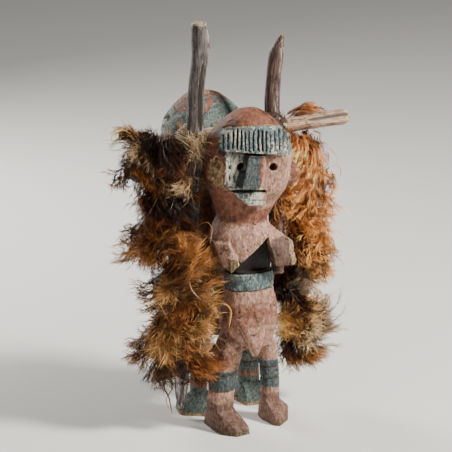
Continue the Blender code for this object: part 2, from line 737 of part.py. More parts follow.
def lashing(name, stick_x, stick_radius, frayed_ends, seed, parts, helpers):
    """The fibre tie round an upright and the crossbar, with the frayed ends that stand out of it."""
    half = Vector((
        stick_radius + LASHING_WALL,
        CROSSBAR_RADIUS + stick_radius + LASHING_WALL / 2,
        CROSSBAR_RADIUS + LASHING_WALL * 1.2,
    ))
    centre = Vector((stick_x, stick_y(stick_radius) / 2, crossbar_lift(stick_x)))
    whole = object_from(name, lump_body(centre, half, seed), parts)
    joined = []
    for step, end in enumerate(frayed_ends):
        tip = centre + Vector([share * size for share, size in zip(end, half)])
        body = feather_body(centre.lerp(tip, 0.35), tip, LASHING_WALL)
        joined.append(helper(f"{name} frayed end {step}", body, helpers))
    combine(whole, joined, "UNION")
    return whole


def evaluated_body(source):
    """The source with its modifiers applied, as a bmesh in world space."""
    graph = bpy.context.evaluated_depsgraph_get()
    graph.update()
    mesh = bpy.data.meshes.new_from_object(source.evaluated_get(graph))
    body = bmesh.new()
    body.from_mesh(mesh)
    body.transform(source.matrix_world)
    bpy.data.meshes.remove(mesh)
    return body


def grown_copy(source, name, helpers):
    """A helper that is the source's body grown outwards, for cutting room round it."""
    body = evaluated_body(source)
    bmesh.ops.remove_doubles(body, verts=body.verts, dist=MERGE_DISTANCE)
    body.normal_update()
    for vert in body.verts:
        vert.co += vert.normal * SOFT_GAP
    return helper(name, body, helpers)


def islands(body):
    """The separate bodies of a bmesh, as lists of points."""
    left = set(body.verts)
    found = []
    while left:
        queue = [left.pop()]
        island = []
        while queue:
            vert = queue.pop()
            island.append(vert)
            near = [edge.other_vert(vert) for edge in vert.link_edges]
            fresh = [other for other in near if other in left]
            left.difference_update(fresh)
            queue.extend(fresh)
        found.append(island)
    return found


def keep_main_body(made):
    """Apply the cuts and drop the scraps that they leave, which nothing would hold."""
    body = evaluated_body(made)
    bmesh.ops.dissolve_degenerate(body, edges=body.edges, dist=MERGE_DISTANCE)
    scraps = sorted(islands(body), key=len)[:-1]
    bmesh.ops.delete(body, geom=[vert for island in scraps for vert in island], context="VERTS")
    bmesh.ops.triangulate(body, faces=body.faces)
    made.modifiers.clear()
    body.to_mesh(made.data)
    body.free()


def make_room(soft, solids, helpers):
    """Press a soft piece against the hard ones: it is cut to their shape, a hair's breadth away."""
    room = [grown_copy(solid, f"{soft.name} room for {solid.name}", helpers) for solid in solids]
    combine(soft, room, "DIFFERENCE")
    keep_main_body(soft)


def centre_on_origin(parts, helpers):
    """Hang everything on one empty, moved so that the origin is under the middle of the bundle."""
    corners = []
    for made in parts.objects:
        body = evaluated_body(made)
        corners += [vert.co.copy() for vert in body.verts]
        body.free()
    middle = [(min(c[axis] for c in corners) + max(c[axis] for c in corners)) / 2 for axis in (0, 1)]
    bundle = bpy.data.objects.new("bundle", None)
    bpy.context.scene.collection.objects.link(bundle)
    bundle.location = (-middle[0], -middle[1], 0)
    for made in list(parts.objects) + list(helpers.objects):
        made.parent = bundle
    print("moved by", [round(-value, 5) for value in middle])
    print("uprights at", round(left_stick_x(), 4), round(right_stick_x(), 4))


def build():
    """The whole bundle."""
    clear_scene()
    parts = make_collection("pair of ancestor figures")
    helpers = make_collection("cutters and joined shapes")
    front_spec, back_spec = figure_specs()
    front = carved_figure("figure_front", FRONT_FIGURE_HEIGHT, front_spec, parts, helpers)
    back = carved_figure("figure_back", BACK_FIGURE_HEIGHT, back_spec, parts, helpers)
    left_upright = left_stick(parts)
    right_upright = right_stick(parts)
    bar = crossbar(parts)
    hard = (front, back, left_upright, right_upright, bar)

    left_tie = lashing(
        "fibre_lashing_left", left_stick_x(), LEFT_STICK_RADIUS, LEFT_FRAYED_ENDS, 5, parts, helpers
    )
    right_tie = lashing(
        "fibre_lashing_right", right_stick_x(), RIGHT_STICK_RADIUS, RIGHT_FRAYED_ENDS, 9, parts, helpers
    )
    make_room(left_tie, hard, helpers)
    make_room(right_tie, hard, helpers)

    left_feathers = garland("feather_garland_left", LEFT_TUFTS, left_stick_x(), 21, parts, helpers)
    right_feathers = garland("feather_garland_right", RIGHT_TUFTS, right_stick_x(), 47, parts, helpers)
    make_room(left_feathers, hard + (left_tie,), helpers)
    make_room(right_feathers, hard + (right_tie,), helpers)

    for made in parts.objects:
        made.data.materials.append(make_material(*FINISHES[made.name]))
    centre_on_origin(parts, helpers)


build()
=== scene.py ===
# %% [markdown]
# # A pair of carved ancestor figures with feather garlands
#
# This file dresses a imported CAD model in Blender, one piece at a time. The object is a bundle: two painted
# wooden figures back to back, three rough sticks, two fibre ties and two hanging garlands of feathers.
# Each step says what the piece is on the real object, how it could be made, and why this way was chosen.
# All lengths are metres, Z is up, and the front figure faces -Y.

import math
from collections import namedtuple
from types import SimpleNamespace

import bmesh
import bpy
import numpy as np
from mathutils import Matrix, Vector
from mathutils.bvhtree import BVHTree


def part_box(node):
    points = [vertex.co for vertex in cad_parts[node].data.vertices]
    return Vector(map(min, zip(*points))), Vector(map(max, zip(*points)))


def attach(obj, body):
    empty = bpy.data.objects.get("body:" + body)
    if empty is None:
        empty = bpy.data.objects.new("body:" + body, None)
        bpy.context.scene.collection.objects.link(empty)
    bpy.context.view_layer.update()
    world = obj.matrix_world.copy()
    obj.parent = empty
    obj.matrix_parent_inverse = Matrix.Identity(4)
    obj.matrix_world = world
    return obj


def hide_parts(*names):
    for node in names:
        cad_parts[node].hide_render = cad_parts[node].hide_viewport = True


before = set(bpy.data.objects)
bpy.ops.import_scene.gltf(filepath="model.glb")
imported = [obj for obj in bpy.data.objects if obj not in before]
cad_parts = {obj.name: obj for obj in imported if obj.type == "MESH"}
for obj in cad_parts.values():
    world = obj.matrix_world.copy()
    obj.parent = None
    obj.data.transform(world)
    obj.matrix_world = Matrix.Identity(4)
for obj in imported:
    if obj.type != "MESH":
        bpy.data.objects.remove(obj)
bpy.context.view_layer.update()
print("CAD nodes:", sorted(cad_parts))

# %% [markdown]
# ## Where the CAD put things
#
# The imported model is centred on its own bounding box, while the carving tables below are measured from the
# crossbar. One offset links the two: the crossbar's left end lies 108 mm to the left of the carving's middle.

# %% Places shared with the CAD
bar_low, bar_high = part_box("crossbar_stick")
MIDDLE = Vector((bar_low.x + 0.108, (bar_low.y + bar_high.y) / 2, 0.0))
FRONT_HEIGHT, BACK_HEIGHT = 0.378, 0.382
FRONT_PLACE = Matrix.Translation(MIDDLE + Vector((0, -0.0377, 0)))
BACK_TURN = Matrix.Rotation(math.radians(188), 4, "Z")
BACK_PLACE = Matrix.Translation(MIDDLE + Vector((0.004, 0.0220, 0))) @ BACK_TURN
BAR_HEIGHT = 0.3375
print("offset of the carving's middle:", [round(c, 4) for c in MIDDLE])

# %% [markdown]
# ## Camera
#
# The photograph looks down a little from the front figure's right-hand side, through a long lens, which
# keeps the sticks nearly parallel. The camera stands 3 m away, 27.5 degrees round and 16 degrees up.

# %% Camera
AZIMUTH, ELEVATION, DISTANCE = math.radians(-27.5), math.radians(16), 3.0
FOCAL_PIXELS, IMAGE_SIDE, SENSOR_WIDTH = 2603, 452, 36
looking = Vector((
    -math.sin(AZIMUTH) * math.cos(ELEVATION), math.cos(AZIMUTH) * math.cos(ELEVATION), -math.sin(ELEVATION)
))
to_the_right = Vector((math.cos(AZIMUTH), math.sin(AZIMUTH), 0))
upwards = to_the_right.cross(looking)
target = MIDDLE + Vector((-0.0019, 0.0057, 0.2263))
eye = target - looking * DISTANCE


def linked(name, data):
    """A new object that holds this data, linked to the scene."""
    made = bpy.data.objects.new(name, data)
    bpy.context.scene.collection.objects.link(made)
    return made


def point_along(made, direction):
    """Turns a camera or a light to look along a direction."""
    made.rotation_mode = "QUATERNION"
    made.rotation_quaternion = direction.to_track_quat("-Z", "Y")


camera_data = bpy.data.cameras.new("camera")
camera_data.sensor_width = SENSOR_WIDTH
camera_data.lens = FOCAL_PIXELS * SENSOR_WIDTH / IMAGE_SIDE
camera_data.clip_start, camera_data.clip_end = 0.1, 50
camera = linked("camera", camera_data)
camera.location = eye
point_along(camera, looking)
bpy.context.scene.camera = camera
print("lens:", round(camera_data.lens, 1), "mm")


def seen_at(across, down, y):
    """The point on the upright plane Y = y that the camera sees at a place in the 452 x 452 picture."""
    half = IMAGE_SIDE / 2
    ray = looking + to_the_right * (across - half) / FOCAL_PIXELS - upwards * (down - half) / FOCAL_PIXELS
    return eye + ray * ((y - eye.y) / ray.y)


# %% [markdown]
# ## Studio
#
# A museum photograph of such a bundle has one strong soft light from the upper right and a weaker one from
# behind on the left. Large area lights give soft shadows that still show the knife marks and the barbs. The
# floor is a plain pale sheet, which isn't part of the object.

# %% Floor and lights
LIT_MIDDLE = Vector((0, 0, 0.22))


def plain_material(name, colour, roughness):
    """A material of one colour, for the floor."""
    made = bpy.data.materials.new(name)
    made.use_nodes = True
    shader = made.node_tree.nodes["Principled BSDF"]
    shader.inputs["Base Color"].default_value = (*colour, 1)
    shader.inputs["Roughness"].default_value = roughness
    return made


def soft_light(name, place, size, power, colour):
    """A square area light that points at the middle of the object."""
    data = bpy.data.lights.new(name, "AREA")
    data.size, data.energy, data.color = size, power, colour
    light = linked(name, data)
    light.location = place
    point_along(light, LIT_MIDDLE - light.location)


floor_mesh = bpy.data.meshes.new("floor")
floor_mesh.from_pydata([(-6, -6, 0), (6, -6, 0), (6, 6, 0), (-6, 6, 0)], [], [(0, 1, 2, 3)])
floor_mesh.materials.append(plain_material("pale floor", (0.70, 0.69, 0.67), 0.9))
floor = linked("floor", floor_mesh)

towards_eye = -looking
soft_light("key", to_the_right * 1.5 + towards_eye * 0.55 + Vector((0, 0, 1.45)), 0.42, 105, (1.0, 0.955, 0.89))
soft_light("fill", to_the_right * -1.3 + towards_eye * 1.3 + Vector((0, 0, 0.7)), 1.4, 6, (0.97, 0.98, 1.0))
soft_light("back", to_the_right * -0.9 - towards_eye * 1.1 + Vector((0, 0, 1.1)), 0.6, 26, (1.0, 0.97, 0.92))
world = bpy.data.worlds.new("studio")
world.use_nodes = True
background = world.node_tree.nodes["Background"]
background.inputs["Color"].default_value = (0.80, 0.80, 0.79, 1)
background.inputs["Strength"].default_value = 0.20
bpy.context.scene.world = world

# %% [markdown]
# ## Small tools for meshes
#
# Carving, bark and feathers are all built from many numbers at once, so numpy does the sums and Blender gets
# finished arrays. The noise is a smooth blend between the random corners of a lattice. It gives the same
# values on every run, because its generator is seeded.

# %% Noise
LATTICE_SIDE = 32
lattice = np.random.default_rng(11).random((LATTICE_SIDE,) * 3) * 2 - 1


def noise(points, size, shift=0.0):
    """Smooth noise between -1 and 1 at each point, with bumps about that size across."""
    scaled = np.asarray(points) / size + shift * 7.31
    cell = np.floor(scaled).astype(int)
    part = scaled - cell
    part = part * part * (3 - 2 * part)
    near, far = cell % LATTICE_SIDE, (cell + 1) % LATTICE_SIDE
    total = 0.0
    for steps in np.ndindex(2, 2, 2):
        place = tuple((far if step else near)[..., axis] for axis, step in enumerate(steps))
        x, y, z = (part[..., axis] if step else 1 - part[..., axis] for axis, step in enumerate(steps))
        total = total + lattice[place] * (x * y * z)
    return total


def ramp(value, start, end):
    """0 before start, 1 after end and smooth between, for numbers or whole arrays."""
    share = np.clip((value - start) / (end - start), 0, 1)
    return share * share * (3 - 2 * share)


print("noise at the origin:", round(float(noise(np.zeros((1, 3)), 0.01)[0]), 3))

# %% Mesh helpers
def mesh_object(name, points, faces):
    """An object from lists of corners and faces, linked to the scene."""
    mesh = bpy.data.meshes.new(name)
    mesh.from_pydata([tuple(p) for p in points], [], faces)
    return linked(name, mesh)


def read_rows(source, name):
    """Three numbers for each corner, as an array of rows."""
    found = np.empty(len(source) * 3, np.float32)
    source.foreach_get(name, found)
    return found.reshape(-1, 3).astype(float)


def coordinates(mesh):
    return read_rows(mesh.vertices, "co")


def normals(mesh):
    return read_rows(mesh.vertex_normals, "vector")


def shape_of(mesh):
    """A mesh's corners and faces, as mesh_object takes them."""
    return coordinates(mesh), [tuple(face.vertices) for face in mesh.polygons]


def set_coordinates(mesh, points):
    """Puts an array of rows back as a mesh's corners."""
    mesh.vertices.foreach_set("co", np.ascontiguousarray(points, np.float32).ravel())
    mesh.update()


def apply_modifiers(made):
    """Turns an object's modifiers into plain mesh."""
    graph = bpy.context.evaluated_depsgraph_get()
    graph.update()
    mesh = bpy.data.meshes.new_from_object(made.evaluated_get(graph))
    old = made.data
    made.modifiers.clear()
    made.data = mesh
    bpy.data.meshes.remove(old)


def set_colours(mesh, name, values):
    """Stores a colour for each corner, which materials read by its name."""
    layer = mesh.color_attributes.new(name, "FLOAT_COLOR", "POINT")
    full = np.ones((len(mesh.vertices), 4), np.float32)
    full[:, :3] = values
    layer.data.foreach_set("color", full.ravel())


def shade_smooth(mesh):
    mesh.polygons.foreach_set("use_smooth", [True] * len(mesh.polygons))


def srgb(red, green, blue):
    """A paint chip's 0 to 255 numbers as the linear colour that shaders want."""
    return tuple((c / 255) ** 2.2 for c in (red, green, blue))


print("ochre as a linear colour:", [round(c, 3) for c in srgb(150, 100, 78)])

# %% Fusing and smoothing
def neighbour_average(mesh):
    """A function that gives each corner the average of its neighbours' values, for smoothing."""
    edges = np.empty(len(mesh.edges) * 2, np.int32)
    mesh.edges.foreach_get("vertices", edges)
    first, second = edges.reshape(-1, 2).T
    count = len(mesh.vertices)
    degree = np.bincount(first, minlength=count) + np.bincount(second, minlength=count)

    def average(values):
        columns = []
        for column in values.T:
            total = np.bincount(first, column[second], count) + np.bincount(second, column[first], count)
            columns.append(total / np.maximum(degree, 1))
        return np.stack(columns, 1)

    return average


def fuse(made, voxel, rounds):
    """Fuses overlapping shells into one skin of small equal faces, and smooths it a few times over."""
    remesh = made.modifiers.new("fuse", "REMESH")
    remesh.mode, remesh.voxel_size = "VOXEL", voxel
    apply_modifiers(made)
    average = neighbour_average(made.data)
    points = coordinates(made.data)
    for _ in range(rounds):
        points = points + 0.5 * (average(points) - points)
    set_coordinates(made.data, points)
    return points


print("tools ready:", ", ".join(tool.__name__ for tool in (noise, mesh_object, fuse)))

# %% [markdown]
# ## The figures' blank
#
# Each figure is cut from one block: a bulging head on a thick neck, a short trunk, arms broken off before
# the hands, straight legs and wedge-shaped feet. The CAD solid shows the same carving in coarse facets.
# Smoothing that solid would also wash out its nose and brow, so the figure is built again from the same
# tables of widths and depths, with smooth curves between the rows. Everything is in thousandths of height.

# %% Tables of the carving
HEAD_ROWS = [
    (636, 80, 70, 72), (662, 75, 64, 67), (690, 85, 64, 68), (712, 96, 66, 70), (738, 109, 80, 76),
    (775, 122, 116, 82), (820, 128, 127, 84), (866, 129, 131, 84), (902, 121, 126, 80),
    (932, 104, 111, 70), (958, 82, 88, 57), (980, 57, 62, 41), (994, 28, 31, 22), (1000, 4, 5, 4),
]
TRUNK_ROWS = [
    (250, 66, 46, 58), (285, 80, 64, 68), (335, 88, 76, 72), (385, 84, 74, 70), (425, 76, 64, 60),
    (444, 75, 62, 58), (492, 76, 59, 58), (500, 71, 52, 55), (524, 78, 58, 62), (552, 100, 80, 70),
    (588, 104, 84, 76), (620, 96, 80, 74), (650, 80, 66, 70), (672, 72, 58, 62),
]
NECK_PIVOT, WAIST, LEG_TOP, FACE_PLANE = 640, 470, 300, 99
FRONT = {
    "front": True, "lean": 14, "aside": -20, "hips_aside": 9, "trunk_turn": -8, "head_turn": -10,
    "splay": 86, "feet": (4, -6), "shin": 1.0, "grooves": 17,
    "lines": ((124, 174), (137, 175)), "bands": ((124, 188), (108, 199)),
}
BACK = {
    "front": False, "lean": 56, "aside": 9, "hips_aside": 0, "trunk_turn": 0, "head_turn": 0,
    "splay": 96, "feet": (-16, 24), "shin": 0.84, "grooves": 13,
    "lines": ((138, 174), (138, 174)), "bands": ((110, 190), (110, 190)),
}


def between_rows(rows, heights):
    """Smooth curves through a table's columns, read at any heights, with no overshoot at steps."""
    table = np.array(rows, float)
    z, values = table[:, 0], table[:, 1:]
    slope = np.diff(values, axis=0) / np.diff(z)[:, None]
    tangent = np.zeros_like(values)
    same_way = slope[1:] * slope[:-1] > 0
    tangent[1:-1] = np.where(same_way, 2 * slope[1:] * slope[:-1] / (slope[1:] + slope[:-1] + 1e-12), 0)
    tangent[0], tangent[-1] = slope[0], slope[-1]
    step = np.clip(np.searchsorted(z, heights, side="right") - 1, 0, len(z) - 2)
    wide = (z[step + 1] - z[step])[:, None]
    u = ((heights - z[step]) / wide[:, 0])[:, None]
    return (
        (2 * u**3 - 3 * u**2 + 1) * values[step] + (u**3 - 2 * u**2 + u) * wide * tangent[step]
        + (3 * u**2 - 2 * u**3) * values[step + 1] + (u**3 - u**2) * wide * tangent[step + 1]
    )


def squarish_ring(widths, squareness, sides):
    """Rings of a rounded square: one for each row of half width, depth in front and depth behind."""
    angle = math.tau * (np.arange(sides) + 0.5) / sides
    across, along = np.cos(angle), np.sin(angle)
    reach = (np.abs(across) ** squareness + np.abs(along) ** squareness) ** (-1 / squareness)
    depth = np.where(along > 0, widths[:, 2:3], widths[:, 1:2])
    return np.stack([widths[:, :1] * across * reach, depth * along * reach], -1)


def closed_loft(rings):
    """Corners and faces of a body through rings of equal count, with flat ends."""
    rows, sides = rings.shape[:2]
    faces = []
    for row in range(rows - 1):
        for side in range(sides):
            after = (side + 1) % sides
            low, high = row * sides, (row + 1) * sides
            faces.append((low + side, low + after, high + after, high + side))
    faces.append(tuple(reversed(range(sides))))
    faces.append(tuple(range((rows - 1) * sides, rows * sides)))
    return rings.reshape(-1, 3), faces


def knife_block(points):
    """Corners and faces of the convex block round a few points, as a knife leaves it."""
    body = bmesh.new()
    corners = [body.verts.new(point) for point in points]
    found = bmesh.ops.convex_hull(body, input=corners)
    inside = [item for item in found["geom_interior"] if isinstance(item, bmesh.types.BMVert)]
    bmesh.ops.delete(body, geom=inside, context="VERTS")
    body.verts.index_update()
    shape = np.array([v.co for v in body.verts]), [tuple(v.index for v in f.verts) for f in body.faces]
    body.free()
    return shape


print("head rows:", len(HEAD_ROWS), "trunk rows:", len(TRUNK_ROWS))

# %% [markdown]
# The parts of the body are simple: lofts for head, trunk and legs, and convex blocks for what the knife left
# flat, such as feet, nose, chin and arm stumps. The face is schematic: a flat plane with two round holes, a
# wedge for the nose, a slit for the mouth and a pointed chin.

# %% Head and trunk
SKULL_SIDES, TRUNK_SIDES, LEG_SIDES = 72, 56, 32


def head_matrix(spec):
    """From the head's own frame to the figure's: it leans, turns and rolls on the neck."""
    pivot = Vector((0, 0, NECK_PIVOT))
    return (
        Matrix.Translation(pivot + Vector((spec["aside"], -spec["lean"], 0)))
        @ Matrix.Rotation(math.radians(spec["head_turn"]), 4, "Z")
        @ Matrix.Rotation(math.radians(5), 4, "Y") @ Matrix.Translation(-pivot)
    )


def bend_trunk(points, spec):
    """Twists and leans trunk points, more towards the neck."""
    points = np.asarray(points, float).copy()
    share = np.clip((points[:, 2] - LEG_TOP) / (NECK_PIVOT - LEG_TOP), 0, 1)
    above = np.clip((points[:, 2] - WAIST) / (NECK_PIVOT - WAIST), 0, 1)
    turn = math.radians(spec["trunk_turn"]) * share
    x, y = points[:, 0].copy(), points[:, 1].copy()
    points[:, 0] = (x * np.cos(turn) - y * np.sin(turn) + spec["hips_aside"] * (1 - above)
                    + spec["aside"] * above)
    points[:, 1] = x * np.sin(turn) + y * np.cos(turn) - spec["lean"] * share
    return points


def raised(flat, heights):
    """Flat rings lifted to their heights."""
    up = np.broadcast_to(heights[:, None, None], (*flat.shape[:2], 1))
    return np.concatenate([flat, up], -1)


def skull_shape():
    """The domed head, a little fuller on its right side."""
    heights = np.concatenate([np.linspace(636, 960, 60), np.linspace(964, 1000, 18)])
    flat = squarish_ring(between_rows(HEAD_ROWS, heights), 2.35, SKULL_SIDES)
    fuller = 1 + 0.045 * ramp(heights, 740, 800) * (1 - ramp(heights, 900, 960))
    flat[..., 0] *= np.where(flat[..., 0] < 0, fuller[:, None], 1.0)
    return closed_loft(raised(flat, heights))


def trunk_shape(spec):
    heights = np.linspace(250, 672, 90)
    flat = squarish_ring(between_rows(TRUNK_ROWS, heights), 2.5, TRUNK_SIDES)
    points, faces = closed_loft(raised(flat, heights))
    return bend_trunk(points, spec), faces


print("sides of the skull loft:", SKULL_SIDES)

# %% Legs, feet and arm stumps
SHIN_HALF = {-1: 41, 1: 30}


def leg_shape(side, spec):
    """A leg with a swelling knee, which splays outwards on the way down."""
    half = SHIN_HALF[side] * spec["shin"]
    knee = 1.34 if side < 0 else 1.16
    shares = [
        (24, 1, 1, 1), (80, .96, .96, .88), (190, 1, 1, .92), (222, 1.03, 0.3 + 0.7 * knee, .93),
        (252, 1.02, knee, .9), (276, .96, 0.4 + 0.6 * knee, .86), (298, .84, .80, .8), (320, .76, .70, .72),
    ]
    rows = [(height, half * wide, half * before, half * behind) for height, wide, before, behind in shares]
    heights = np.linspace(24, 320, 50)
    flat = squarish_ring(between_rows(rows, heights), 2.5, LEG_SIDES)
    fall = np.minimum(heights / LEG_TOP, 1.0) ** (5.0 if side > 0 else 2.4)
    flat[..., 0] += side * (spec["splay"] - (spec["splay"] - 44) * fall)[:, None]
    return closed_loft(raised(flat, heights))


def foot_shape(side, spec):
    """A wedge of a foot with a flat sole, cut in at the heel."""
    wide, toe, heel = 44, -106, 50
    if side < 0:
        sole = [(-.62, heel), (.62, heel), (-.86, .28 * toe), (1.05, .28 * toe), (-.62, .72 * toe),
                (-.09, toe), (1.05, .97 * toe)]
    else:
        sole = [(-.5, .8 * heel), (.6, .8 * heel), (-.66, .1 * toe), (1.1, .18 * toe), (1.05, .38 * toe),
                (.05, .78 * toe), (-.28, .72 * toe)]
    shin = SHIN_HALF[side] * 0.75
    points = [(x * wide, y, 0) for x, y in sole] + [(x * wide * .94, y * .97, 22) for x, y in sole]
    if side > 0:
        points += [(x * wide * 1.04, y * 0.95, 44) for x, y in sole if x > 1]
    points += [(x * shin, y * shin, 68) for x, y in ((-1, -1), (1, -1), (1, 1), (-1, 1))]
    turn = Matrix.Rotation(math.radians(spec["feet"][side > 0]), 3, "Z")
    ankle = Vector((side * spec["splay"], 0, 0))
    return knife_block([ankle + turn @ Vector(p) for p in points])


def arm_shape(side, spec):
    """An arm stump, broken off before the hand."""
    if side > 0:
        points = [(66, -30, 656), (120, 8, 598), (135, -58, 586), (120, 8, 556), (128, -88, 530),
                  (118, -94, 517), (58, -92, 520), (54, -80, 606), (56, 2, 545), (106, 6, 534)]
    else:
        points = [(40, -26, 634), (106, 8, 604), (110, -50, 600), (76, -86, 606), (98, -60, 526),
                  (86, -90, 516), (58, -92, 536), (60, 0, 540), (92, 4, 536)]
    return knife_block(bend_trunk([(side * x, y, z) for x, y, z in points], spec))


print("half widths of the shins:", SHIN_HALF)

# %% Belly, nose, chin and ear
def belly_hollow(spec):
    """The notch between the arm stumps, where the belly lies further back than the chest."""
    points = [(66, -140, 646), (-60, -140, 524), (-84, -140, 501), (70, -140, 501),
              (60, -40, 604), (-54, -54, 514), (-74, -42, 501), (62, -38, 501)]
    return knife_block(bend_trunk(points, spec))


def belly_shapes():
    """The facet under the waist and the wedge that hangs below it."""
    facet = knife_block([(-34, -40, 436), (40, -40, 436), (-26, -66, 424), (30, -76, 424), (4, -88, 345),
                         (-30, -44, 330), (34, -44, 330)])
    points = []
    rings = ((356, 56, 54, 22), (318, 70, 42, 22), (278, 80, 25, 20), (238, 80, 10, 9))
    for height, forward, half, deep in rings:
        for angle in math.tau * np.arange(14) / 14:
            points.append((half * math.cos(angle) - 8, deep * math.sin(angle) - forward, height))
    return [facet, knife_block(points)]


def nose_shape():
    base, top, tip = 12 - FACE_PLANE, -FACE_PLANE - 24, -FACE_PLANE - 45
    return knife_block([(-48, base, 880), (32, base, 880), (-38, top, 880), (14, top, 880),
                        (-70, base, 781), (30, base, 781), (-56, tip, 783), (-2, tip, 783)])


def chin_shape():
    front, deep = -FACE_PLANE - 2, -40
    return knife_block([(-84, front, 775), (40, front, 775), (-16, front + 2, 723), (36, front + 2, 723),
                        (-92, deep, 785), (54, deep, 785), (-26, deep, 719), (46, deep, 719)])


def ear_shape():
    points = []
    for rise, inset, share in ((-42, 24, 0.5), (-14, 4, 1.0), (20, 0, 1.0), (44, 16, 0.6)):
        for sign in (-1, 1):
            points.append((158 - inset, sign * 30 * share, 800 + rise))
            points.append((112, sign * 39 * share, 800 + rise))
    return knife_block(points)


print("corners of the nose:", len(nose_shape()[0]))

# %% [markdown]
# ## Carving the figures
#
# All the body's parts overlap like lumps of clay. A voxel remesh fuses them into one skin of small equal
# faces, which is what sculptors do before they add detail, and it rounds every knife edge a little, as
# handling has. Holes and the flat face are cut with Booleans first, because they are deep. The shallow
# work, such as fringe grooves, incised lines and tool marks, is then pressed into the skin with numpy.

# %% Holes in the face
EYE_ASIDE, EYE_LEVEL, EYE_RADIUS, EYE_SIDES = 50, 840, 13, 20
MOUTH_LEVEL = 766


def cut(target, shapes, operation):
    """One exact Boolean for each shape, applied at once."""
    cutters = []
    for points, faces in shapes:
        cutter = mesh_object("cutter", points, faces)
        cutters.append(cutter)
        step = target.modifiers.new("knife", "BOOLEAN")
        step.operation, step.solver, step.object = operation, "EXACT", cutter
    apply_modifiers(target)
    for cutter in cutters:
        bpy.data.objects.remove(cutter, do_unlink=True)


def eye_hole(side):
    """A short round rod that leaves a hole in the face."""
    angle = math.tau * np.arange(EYE_SIDES) / EYE_SIDES
    across, up = side * EYE_ASIDE + EYE_RADIUS * np.cos(angle), EYE_LEVEL + EYE_RADIUS * np.sin(angle)
    ends = (-FACE_PLANE + 34.0, -FACE_PLANE - 30.0)
    return closed_loft(np.array([np.stack([across, np.full(EYE_SIDES, y), up], -1) for y in ends]))


def mouth_slit():
    points = []
    for x, opening in ((-88, 5), (34, 5.5)):
        for y, share in ((-FACE_PLANE - 40, 1.0), (-FACE_PLANE + 14, 0.7)):
            points += [(x, y, MOUTH_LEVEL + sign * opening * share) for sign in (-1, 1)]
    return knife_block(points)


print("corners of an eye hole:", len(eye_hole(1)[0]))

# %% Blank of a figure
VOXEL = 0.00078


def taken_shape(made):
    """An object's corners and faces; the object itself is deleted."""
    shape = shape_of(made.data)
    bpy.data.objects.remove(made, do_unlink=True)
    return shape


def carved_skull(name, spec):
    """The head with its flat face, chin, nose, ear, eye holes and mouth, set on the neck."""
    skull = mesh_object(f"{name} skull", *skull_shape())
    brow = [(x, 886 - 0.02 * x) for x in (-140, 140)]
    flat_face = knife_block([(x, y, z) for x, top in brow for y in (-FACE_PLANE, -170) for z in (700, top)])
    cut(skull, [flat_face], "DIFFERENCE")
    cut(skull, [chin_shape(), nose_shape(), ear_shape()], "UNION")
    cut(skull, [eye_hole(-1), eye_hole(1), mouth_slit()], "DIFFERENCE")
    skull.data.transform(head_matrix(spec))
    return taken_shape(skull)


def carved_trunk(spec):
    """The trunk, and in the front figure the hollow under the chest."""
    trunk = mesh_object("trunk", *trunk_shape(spec))
    if spec["front"]:
        cut(trunk, [belly_hollow(spec)], "DIFFERENCE")
    return taken_shape(trunk)


def figure_blank(name, spec, place, height):
    """One fused skin in world space, and the matrix that brought it there."""
    shapes = [carved_skull(name, spec), carved_trunk(spec)]
    for side in (-1, 1):
        shapes += [leg_shape(side, spec), foot_shape(side, spec), arm_shape(side, spec)]
    if spec["front"]:
        shapes += belly_shapes()
    all_points, all_faces, start = [], [], 0
    for points, faces in shapes:
        all_points.append(np.asarray(points, float))
        all_faces += [tuple(corner + start for corner in face) for face in faces]
        start += len(points)
    figure = mesh_object(name, np.concatenate(all_points), all_faces)
    whole = place @ Matrix.Scale(height / 1000, 4)
    figure.data.transform(whole)
    fuse(figure, VOXEL, 3)
    print(name, "blank:", len(figure.data.polygons), "faces")
    return figure, whole


front_figure, front_whole = figure_blank("carved_figure_front", FRONT, FRONT_PLACE, FRONT_HEIGHT)
back_figure, back_whole = figure_blank("carved_figure_back", BACK, BACK_PLACE, BACK_HEIGHT)

# %% [markdown]
# Now the shallow carving. Every corner of the skin knows where it is in the head's own frame, so a groove is
# just a rule: near one of the fringe angles, between two heights, move inwards. The cuts are kept for the
# painting that comes next, because paint follows the carving: blue on the fringe, the nose and the bands,
# red ochre elsewhere, and bare wood where arms and an ear have broken off.

# %% What each corner of the skin knows
HALF_FRINGE = 101
SOLE_LEVEL = 1.5


def in_frame(points, matrix):
    """World points in the frame of a matrix."""
    inverse = np.array(matrix.inverted())
    return points @ inverse[:3, :3].T + inverse[:3, 3]


def pit(distance, half_width):
    """1 in the middle of a cut and 0 at its edges."""
    return np.clip(1 - np.abs(distance) / half_width, 0, 1)


def skin_of(figure, whole, spec, number):
    """A figure's corners, their places on the body and the head, and how far each is pushed."""
    skin = SimpleNamespace(mesh=figure.data, spec=spec, number=number, points=coordinates(figure.data))
    skin.body = in_frame(skin.points, whole)
    skin.head = in_frame(skin.body, head_matrix(spec))
    skin.in_head = ramp(skin.head[:, 2], 655, 700)
    skin.wobble = noise(skin.points, 0.006, 1 + number)
    skin.push = np.zeros(len(skin.points))
    return skin


print("half the fringe's width:", HALF_FRINGE)

